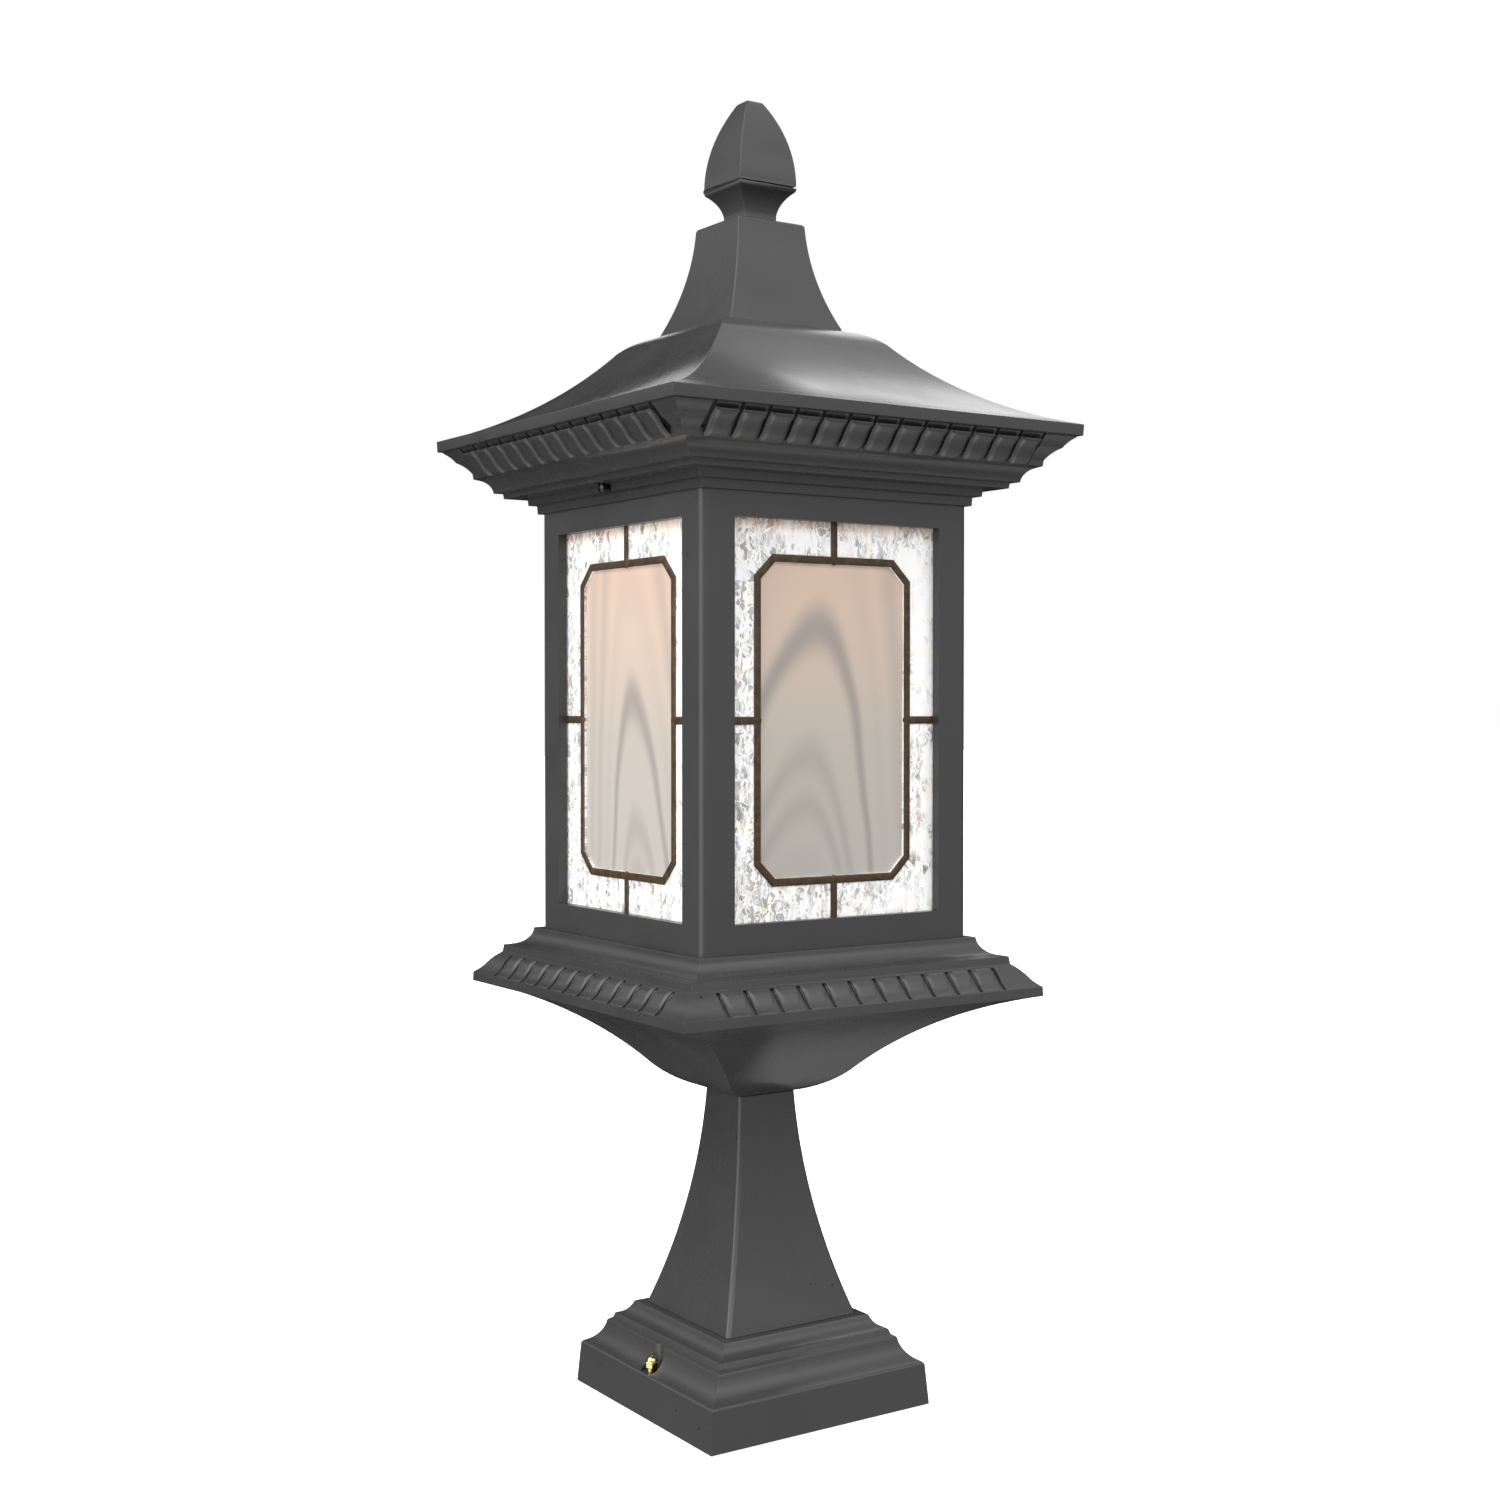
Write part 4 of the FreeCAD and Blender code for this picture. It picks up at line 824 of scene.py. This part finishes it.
def strip_net(window, angle):
    """The net of lead strip on both faces of one panel: octagon, four stubs and solder joints."""
    bm = bmesh.new()
    cut = window.corner_cut
    half = strip_profile(window)
    section = [(-o, h) for o, h in half] + [(o, h) for o, h in reversed(half[:-1])]
    to_middle = -STRIP_LINE
    for outside in (True, False):
        base = GLASS_FACE if outside else GLASS_BACK
        rings = []
        for o, h in section:
            depth = base + h if outside else base - h
            rings.append([bm.verts.new(on_side(x, depth, PANEL_MIDDLE + z, angle))
                          for x, z in octagon(to_middle + o, cut)])
        bridge(bm, rings + [rings[0]])
        line_x, line_z = PANE_HALF - to_middle, PANE_HALF_H - to_middle
        for sx, sz in ((1, 0), (-1, 0), (0, 1), (0, -1)):
            ends = []
            for reach in ((line_x, line_z), (SHEET_HALF + 1 * MM, SHEET_HALF_H + 1 * MM)):
                ring = []
                for o, h in section:
                    depth = base + h * 0.96 if outside else base - h * 0.96
                    x = sx * reach[0] + (o if sx == 0 else 0)
                    z = sz * reach[1] + (o if sz == 0 else 0)
                    ring.append(bm.verts.new(on_side(x, depth, PANEL_MIDDLE + z, angle)))
                ends.append(ring)
            bridge(bm, ends)
            bm.faces.new(ends[0])
            bm.faces.new(ends[1])
            # solder: a low swelling over the joint
            x, z = sx * line_x, sz * line_z
            blob = bmesh.ops.create_uvsphere(bm, u_segments=20, v_segments=10, radius=1.0)["verts"]
            for v in blob:
                bulge = 1 + 0.12 * noise.noise(v.co * 1.7 + Vector((x, z, angle)) * 40)
                depth = (v.co.z * window.strip_rise * 1.18) * (1 if outside else -1)
                wide, tall = (SOLDER_ALONG, SOLDER_ACROSS) if sx else (SOLDER_ACROSS, SOLDER_ALONG)
                v.co = on_side(x + v.co.x * wide * bulge, base + depth,
                               PANEL_MIDDLE + z + v.co.y * tall * bulge, angle)
    return closed_mesh(bm, "net", smooth_to=50)


def lay_sheet_map(mesh, angle, shift, stretch=1.0):
    """UV map in metres: across the window and up from its middle, shifted to a piece of its own."""
    layer = mesh.uv_layers.new(name="sheet")
    a = math.radians(angle)
    for loop in mesh.loops:
        co = mesh.vertices[loop.vertex_index].co
        across = co.x * math.cos(a) + co.y * math.sin(a)
        layer.data[loop.index].uv = (across * stretch + shift[0], co.z - PANEL_MIDDLE + shift[1])


def border_sheet(window, angle, seed):
    """The border glass as four panes in one mesh, its face worked into small feathers."""
    bm = bmesh.new()
    nx, nz = int(SHEET_HALF * 2 / SHEET_STEP), int(SHEET_HALF_H * 2 / SHEET_STEP)
    grid = {}

    def corner(i, j):
        if (i, j) not in grid:
            x = -SHEET_HALF + 2 * SHEET_HALF * i / nx
            z = -SHEET_HALF_H + 2 * SHEET_HALF_H * j / nz
            waves = noise.noise(Vector((x * 320, z * 150, seed * 9.0))) * 0.6
            waves += noise.noise(Vector((x * 700, z * 380, seed * 5.0 + 3.0))) * 0.4
            depth = GLASS_FACE - SHEET_SUNK + waves * window.ripple
            grid[i, j] = bm.verts.new(on_side(x, depth, PANEL_MIDDLE + z, angle))
        return grid[i, j]

    for i in range(nx):
        for j in range(nz):
            x = -SHEET_HALF + 2 * SHEET_HALF * (i + 0.5) / nx
            z = -SHEET_HALF_H + 2 * SHEET_HALF_H * (j + 0.5) / nz
            if inside_octagon(x, z, -0.9 * MM, window.corner_cut) or min(abs(x), abs(z)) < SHEET_GAP:
                continue
            bm.faces.new((corner(i, j), corner(i + 1, j), corner(i + 1, j + 1), corner(i, j + 1)))
    back = bmesh.ops.extrude_face_region(bm, geom=list(bm.faces))
    out = on_side(0, 1, 0, angle)
    for item in back["geom"]:
        if isinstance(item, bmesh.types.BMVert):
            item.co += out * (GLASS_BACK + SKIN - item.co.dot(out))
    # the clear edge that shows between the strip and the recessed centre pane
    ring_out = window.strip_width / 2 - STRIP_LINE
    rings = []
    for inset, depth in ((0.0, GLASS_FACE - 0.05 * MM), (ring_out, GLASS_FACE - 0.05 * MM),
                         (ring_out, GLASS_FACE - window.pane_recess - CHAMFER),
                         (0.0, GLASS_FACE - window.pane_recess - CHAMFER)):
        rings.append([bm.verts.new(on_side(x, depth, PANEL_MIDDLE + z, angle))
                      for x, z in octagon(inset, window.corner_cut)])
    bridge(bm, rings + [rings[0]])
    return closed_mesh(bm, "border", smooth_to=60)


def centre_pane(window, angle):
    """The octagon pane, set a little behind the border glass."""
    bm = bmesh.new()
    front, back = GLASS_FACE - window.pane_recess, GLASS_BACK + SKIN
    rings = [[bm.verts.new(on_side(x, depth, PANEL_MIDDLE + z, angle))
              for x, z in octagon(inset, window.corner_cut)]
             for inset, depth in ((0.0, back), (0.0, front - CHAMFER), (CHAMFER, front))]
    bridge(bm, rings)
    bm.faces.new(rings[0])
    bm.faces.new(rings[-1])
    return closed_mesh(bm, "pane")


class LANTERN_OT_windows(bpy.types.Operator):
    """Fit the four leaded windows."""

    bl_idname = "lantern.windows"
    bl_label = "Leaded windows"

    def execute(self, context):
        finish = context.scene.lantern_finish
        window = context.scene.lantern_window
        lead, opal, chipped = lead_strip(finish), opal_glass(finish), chipped_glass()
        # where each window's panes were cut from the stirred sheet
        cuts = {"front": (0.005, 0.003, 1.0), "right": (-0.012, 0.040, 1.1),
                "rear": (0.015, -0.025, 1.0), "left": (0.001, 0.042, -1.5)}
        for index, (side, angle) in enumerate(SIDES.items()):
            finish_piece("strip_net_" + side, strip_net(window, angle), lead, "lantern",
                         ["came_" + side])
            mesh = border_sheet(window, angle, index + 1)
            lay_sheet_map(mesh, angle, (index * 0.31, 0.0))
            finish_piece("border_panes_" + side, mesh, chipped, "lantern",
                         ["border_glass_" + side])
            mesh = centre_pane(window, angle)
            lay_sheet_map(mesh, angle, cuts[side][:2], cuts[side][2])
            finish_piece("centre_pane_" + side, mesh, opal, "lantern",
                         ["centre_glass_" + side])
        return {"FINISHED"}


# ---------------------------------------------------------------- stage
def soft_box(name, place, target, size, power, colour="ffffff"):
    """A rectangular studio lamp that looks at a point."""
    light = bpy.data.lights.new(name, "AREA")
    light.shape = "RECTANGLE"
    light.size, light.size_y = size
    light.energy = power
    light.color = linear(colour)[:3]
    lamp = bpy.data.objects.new(name, light)
    lamp.location = place
    lamp.rotation_euler = (Vector(target) - Vector(place)).to_track_quat("-Z", "Y").to_euler()
    bpy.context.scene.collection.objects.link(lamp)
    return lamp


class LANTERN_OT_stage(bpy.types.Operator):
    """Set the floor, the lights and the camera."""

    bl_idname = "lantern.stage"
    bl_label = "Stage"

    def execute(self, context):
        settings = context.scene.lantern_stage
        paper, tree, shader = new_material("studio_paper", Metallic=0.0, Roughness=0.9)
        fibre = clouds(tree, object_coords(tree), 9.0, 2.0)
        tone = ramp(tree, fibre, [(0.3, grey(0.86)), (0.7, grey(0.88))])
        feed(tree, shader, Base_Color=tone.outputs["Color"])
        shader.inputs["Emission Color"].default_value = grey(1.0)
        shader.inputs["Emission Strength"].default_value = settings.floor_glow
        mesh = bpy.data.meshes.new("studio_floor")
        reach, low = 14.0, -0.0006
        corners = [(x * reach, y * reach, low) for x, y in ((-1, -1), (1, -1), (1, 1), (-1, 1))]
        mesh.from_pydata(corners, [], [(0, 1, 2, 3)])
        mesh.materials.append(paper)
        floor = bpy.data.objects.new("studio_floor", mesh)
        context.scene.collection.objects.link(floor)
        # the paper is seen but not mirrored: the walls' list holds the light that comes from below
        floor.visible_glossy = False
        floor.visible_diffuse = False
        floor.visible_shadow = False

        world = bpy.data.worlds.new("studio")
        world.use_nodes = True
        sky = world.node_tree
        sky.nodes.clear()
        looking = add(sky, "ShaderNodeTexCoord").outputs["Generated"]
        level = None
        # the studio's pale walls: where each stands, and how bright it is next to white paper
        for direction, brightness in (
                ((0.0, 0.0, -1.0), 2.8), ((-1.0, 0.0, 0.0), 1.7), ((-0.8, 0.1, -0.6), 0.8),
                ((0.55, -0.83, 0.0), 0.7), ((-0.1, -0.7, 0.7), 3.2), ((-0.7, 0.1, 0.7), 4.0),
                ((0.7, -0.1, 0.7), 0.8)):
            facing = add(sky, "ShaderNodeVectorMath", {0: looking, 1: Vector(direction).normalized()[:]},
                         operation="DOT_PRODUCT")
            ahead = calc(sky, "MAXIMUM", facing.outputs["Value"], 0.0)
            fade = calc(sky, "POWER", ahead, WALL_FADE)
            wall = calc(sky, "MULTIPLY", fade, brightness * settings.room)
            level = wall if level is None else calc(sky, "ADD", level, wall)
        path = add(sky, "ShaderNodeLightPath")
        seen = add(sky, "ShaderNodeMix", {"Factor": path.outputs["Is Camera Ray"], "A": level, "B": 1.0})
        shade = add(sky, "ShaderNodeBackground", {"Color": grey(1.0), "Strength": seen.outputs["Result"]})
        add(sky, "ShaderNodeOutputWorld", {"Surface": shade.outputs["Background"]})
        context.scene.world = world
        context.scene.view_settings.view_transform = "Standard"
        context.scene.view_settings.look = "None"
        # each lamp: direction from the lantern, size, brightness next to white paper
        aim = Vector((0, 0, 0.5))
        for name, direction, size, brightness in (
                ("light_roof_near", (0.55, 0.33, 0.76), (1.0, 1.0), 0.7),
                ("light_roof_far", (0.55, 0.63, 0.54), (1.0, 0.8), 1.95),
                ("light_front_right", (0.55, -0.72, 0.46), (0.9, 0.6), 0.65),
                ("light_back_left", (-0.50, 0.83, 0.30), (0.9, 0.5), 0.4)):
            place = aim + Vector(direction).normalized() * LAMP_AWAY
            soft_box(name, place, aim, size, brightness * math.pi * size[0] * size[1])

        camera = bpy.data.objects.new("camera", bpy.data.cameras.new("camera"))
        a = settings.azimuth
        away = settings.distance
        camera.location = (away * math.sin(a), -away * math.cos(a), settings.height)
        camera.rotation_euler = (math.pi / 2 - settings.tilt, 0.0, a)
        camera.data.lens = settings.lens
        camera.data.sensor_width = 36.0
        camera.data.clip_start, camera.data.clip_end = 0.01, 100.0
        context.scene.collection.objects.link(camera)
        context.scene.camera = camera
        return {"FINISHED"}


# ---------------------------------------------------------------- add-on
class LANTERN_PT_panel(bpy.types.Panel):
    """Lists the lantern's operators and settings."""

    bl_idname = "LANTERN_PT_panel"
    bl_label = "Pier Mount Lantern"
    bl_space_type = "VIEW_3D"
    bl_region_type = "UI"
    bl_category = "Lantern"

    def draw(self, context):
        for operator in OPERATORS:
            self.layout.operator(operator.bl_idname)
        for group in GROUPS:
            settings = getattr(context.scene, group)
            for key in settings.__annotations__:
                self.layout.prop(settings, key)


OPERATORS = (LANTERN_OT_castings, LANTERN_OT_beads, LANTERN_OT_windows, LANTERN_OT_lamp,
             LANTERN_OT_fixings, LANTERN_OT_stage)
GROUPS = {"lantern_finish": LanternFinish, "lantern_window": LanternWindow,
          "lantern_beads": LanternBeads, "lantern_stage": LanternStage}


def register():
    for group in (*GROUPS.values(), *OPERATORS, LANTERN_PT_panel):
        bpy.utils.register_class(group)
    for name, group in GROUPS.items():
        setattr(bpy.types.Scene, name, bpy.props.PointerProperty(type=group))


def unregister():
    for name in GROUPS:
        delattr(bpy.types.Scene, name)
    for group in (LANTERN_PT_panel, *reversed(OPERATORS), *reversed(GROUPS.values())):
        bpy.utils.unregister_class(group)


def main():
    register()
    for name in ("Cube", "Light", "Camera"):
        if name in bpy.data.objects:
            bpy.data.objects.remove(bpy.data.objects[name])
    bpy.ops.lantern.castings()
    bpy.ops.lantern.beads()
    bpy.ops.lantern.windows()
    bpy.ops.lantern.lamp()
    bpy.ops.lantern.fixings()
    bpy.ops.lantern.stage()


if __name__ == "__main__":
    main()
